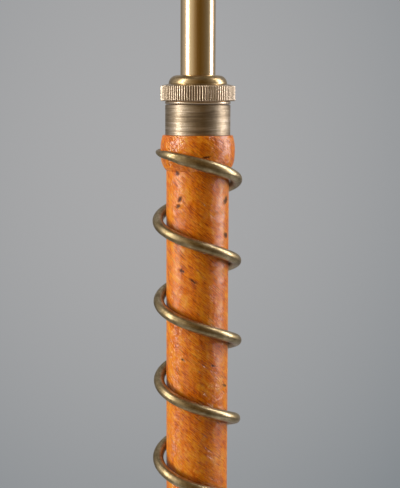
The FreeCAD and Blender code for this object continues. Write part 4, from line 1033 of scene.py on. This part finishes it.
# ------------------------------------------------------------------ shade
# Linen laminated on a stiff sheet, rolled to a cone and glued with an overlap at the back,
# on a wire frame. A folded tape is glued over each edge.
carrier_paint = plain_finish(
    "cream_paint", tint(214, 207, 190), tint(224, 218, 203), 200, 0.00006, rough=(0.4, 0.55)
)
dress("shade_carrier", carrier_paint)
WIRE_RADIUS, HOOP_RADIUS, HOOP_HEIGHT = 1.6, 193.47, 1259.8
hoop_stations = []
for way_round in (Vector((math.cos(a), math.sin(a), 0)) for a in
                  (2 * math.pi * k / 360 for k in range(360))):
    hoop_stations.append((way_round * HOOP_RADIUS + Vector((0, 0, HOOP_HEIGHT)), way_round))
lower_wire = swept(
    "lower_wire_hoop", hoop_stations, [(WIRE_RADIUS, WIRE_RADIUS)] * 360, sides=16, closed=True
)
fit(lower_wire, "shade", "carrier_paint", carrier_paint, "shade_lower_wire")


def weave_group():
    """Plain weave: threads that cross over and under, uneven in thickness and tone."""
    group, given, result = new_group(
        "weave",
        [("Across", "Float", 0.0), ("Along", "Float", 0.0), ("Slubs", "Float", 0.3)],
        [("Height", "Float"), ("Tone", "Float")],
    )
    heights, tones, thread_numbers = [], [], []
    for number, (counted, way) in enumerate((("Across", "Along"), ("Along", "Across"))):
        drawn_out = sum_of(group, "MULTIPLY", given[way], 0.02)
        thread = place(
            group, "ShaderNodeCombineXYZ", {"X": given[counted], "Y": drawn_out, "Z": 7.0 * number}
        ).outputs["Vector"]
        slub = noise_of(group, thread, 0.9, 2)["Fac"]
        half_turns = sum_of(group, "MULTIPLY", given[counted], math.pi)
        rounded = sum_of(group, "ABSOLUTE", sum_of(group, "SINE", half_turns))
        fullness = sum_of(group, "MULTIPLY_ADD", slub, given["Slubs"], 0.7)
        heights.append(sum_of(group, "MULTIPLY", rounded, fullness))
        tones.append(slub)
        thread_numbers.append(sum_of(group, "FLOOR", given[counted]))
    over = sum_of(group, "PINGPONG", sum_of(group, "ADD", *thread_numbers), 1.0)
    first = sum_of(group, "MULTIPLY", heights[0], sum_of(group, "SUBTRACT", 1, over))
    height = sum_of(group, "MULTIPLY_ADD", heights[1], over, first)
    group.links.new(height, result["Height"])
    group.links.new(sum_of(group, "MULTIPLY", sum_of(group, "ADD", *tones), 0.5), result["Tone"])
    return group


WEAVE = weave_group()


def linen_finish(name, low, high, threads, relief):
    """Linen on a round shade: threads run up it and round it."""
    material, tree, shader, where = new_finish(name, Sheen_Weight=0.15)
    split = place(tree, "ShaderNodeSeparateXYZ", {"Vector": where}).outputs
    angle = sum_of(tree, "ARCTAN2", split["Y"], split["X"])
    across = sum_of(tree, "MULTIPLY", angle, threads * 0.15)
    along = sum_of(tree, "MULTIPLY", split["Z"], threads)
    cloth = use_group(tree, WEAVE, Across=across, Along=along, Slubs=0.6)
    colour = ramp(tree, cloth["Tone"], (0.3, low), (0.7, high))
    colour_by(tree, shader, colour, cloth["Tone"], 0.95, 0.8)
    raise_by(tree, shader, cloth["Height"], relief)
    return material


shade_linen = linen_finish("shade_linen", tint(205, 196, 176), tint(228, 221, 204), 1400, 0.00025)
shade_tape = linen_finish("shade_tape", tint(196, 186, 164), tint(214, 206, 187), 2600, 0.0001)
SHADE_FOOT, SHADE_HEIGHT = 1254.8, 252
FOOT_RADIUS, TOP_RADIUS = 200, 100
SLOPE = (FOOT_RADIUS - TOP_RADIUS) / SHADE_HEIGHT
# The sheet is 1 mm thick, and this is how far it reaches on the level.
wall = math.hypot(1, SLOPE)


def glued_overlap(radius, level, angle):
    """The sheet's free end lies over its beginning, 12 mm wide, at the back."""
    reach = abs((angle - math.pi / 2) * radius)
    if radius < FOOT_RADIUS - (level - SHADE_FOOT) * SLOPE - 0.5 * wall:
        return radius
    return radius - 0.3 + 0.25 * max(0, min((6.3 - reach) / 0.6, 1))


seam_angles = sorted(
    {round(2 * math.pi * k / 360, 6) for k in range(360)}
    | {
        round(math.pi / 2 + side * x * 2 / (FOOT_RADIUS + TOP_RADIUS), 6)
        for side in (-1, 1) for x in (5, 5.7, 6, 6.3, 7)
    }
)
rises = [SHADE_HEIGHT * k / 24 for k in range(25)]
linen_cone = turned(
    "linen_cone",
    [(FOOT_RADIUS - wall, SHADE_FOOT)]
    + [(FOOT_RADIUS - SLOPE * rise, SHADE_FOOT + rise) for rise in rises]
    + [(TOP_RADIUS - wall, SHADE_FOOT + SHADE_HEIGHT)],
    edge=0.3, surface=glued_overlap, angles=seam_angles,
)
fit(linen_cone, "shade", "shade_linen", shade_linen, "shade_cover")
for name, node, edge_radius, edge_level, up in (
    ("lower_edge_tape", "shade_trim_lower", FOOT_RADIUS, SHADE_FOOT, 1),
    ("upper_edge_tape", "shade_trim_upper", TOP_RADIUS, SHADE_FOOT + SHADE_HEIGHT, -1),
):

    def tape_at(rise, out):
        """A point this far in from the shade's edge and this far out from its face."""
        return (edge_radius - up * rise * SLOPE + out * wall, edge_level + up * rise)

    tape = turned(
        name,
        [
            tape_at(-0.55, 0.55), tape_at(9, 0.55), tape_at(9, 0.05), tape_at(-0.05, 0.05),
            tape_at(-0.05, -1.05), tape_at(9, -1.05), tape_at(9, -1.55), tape_at(-0.55, -1.55),
        ],
        columns=360, edge=0.25,
    )
    fit(tape, "shade", "shade_tape", shade_tape, node)

# ------------------------------------------------------------------ bulb
# Opal glass blown to a round bulb on a drawn metal screw cap with a soldered tip.
cap_metal = plain_finish(
    "bulb_cap_metal", tint(168, 166, 160), tint(190, 188, 182), 400, 0.00004,
    rough=(0.3, 0.4), Metallic=1.0,
)
dress("bulb_cap", cap_metal)
solder = plain_finish(
    "solder", tint(140, 140, 138), tint(168, 168, 166), 900, 0.0001, rough=(0.35, 0.5),
    Metallic=1.0,
)
dress("bulb_tip", solder)
opal = plain_finish(
    "opal_glass", tint(240, 238, 232), tint(246, 245, 240), 40, 0.00001, rough=(0.16, 0.24),
    Coat_Weight=0.8, Coat_Roughness=0.05,
)
BULB_RADIUS, BULB_MIDDLE, GLASS = 30, 1433.15, 0.8
hollow = BULB_RADIUS - GLASS
# Where the neck runs into the ball, measured down from level.
flare = math.radians(25)
bulb = turned(
    "opal_bulb",
    [
        (12.6, 1369.15), (12.6, 1385.15),
        (BULB_RADIUS * math.cos(flare), BULB_MIDDLE - BULB_RADIUS * math.sin(flare), -BULB_RADIUS),
        (BULB_RADIUS, BULB_MIDDLE, -BULB_RADIUS), (0, BULB_MIDDLE + BULB_RADIUS),
        (0, BULB_MIDDLE + hollow, hollow), (hollow, BULB_MIDDLE, hollow),
        (hollow * math.cos(flare), BULB_MIDDLE - hollow * math.sin(flare)), (11.8, 1385.15),
        (11.8, 1369.15),
    ],
    columns=144, edge=0.0001,
)
fit(bulb, "riser", "opal_glass", opal, "bulb_glass")
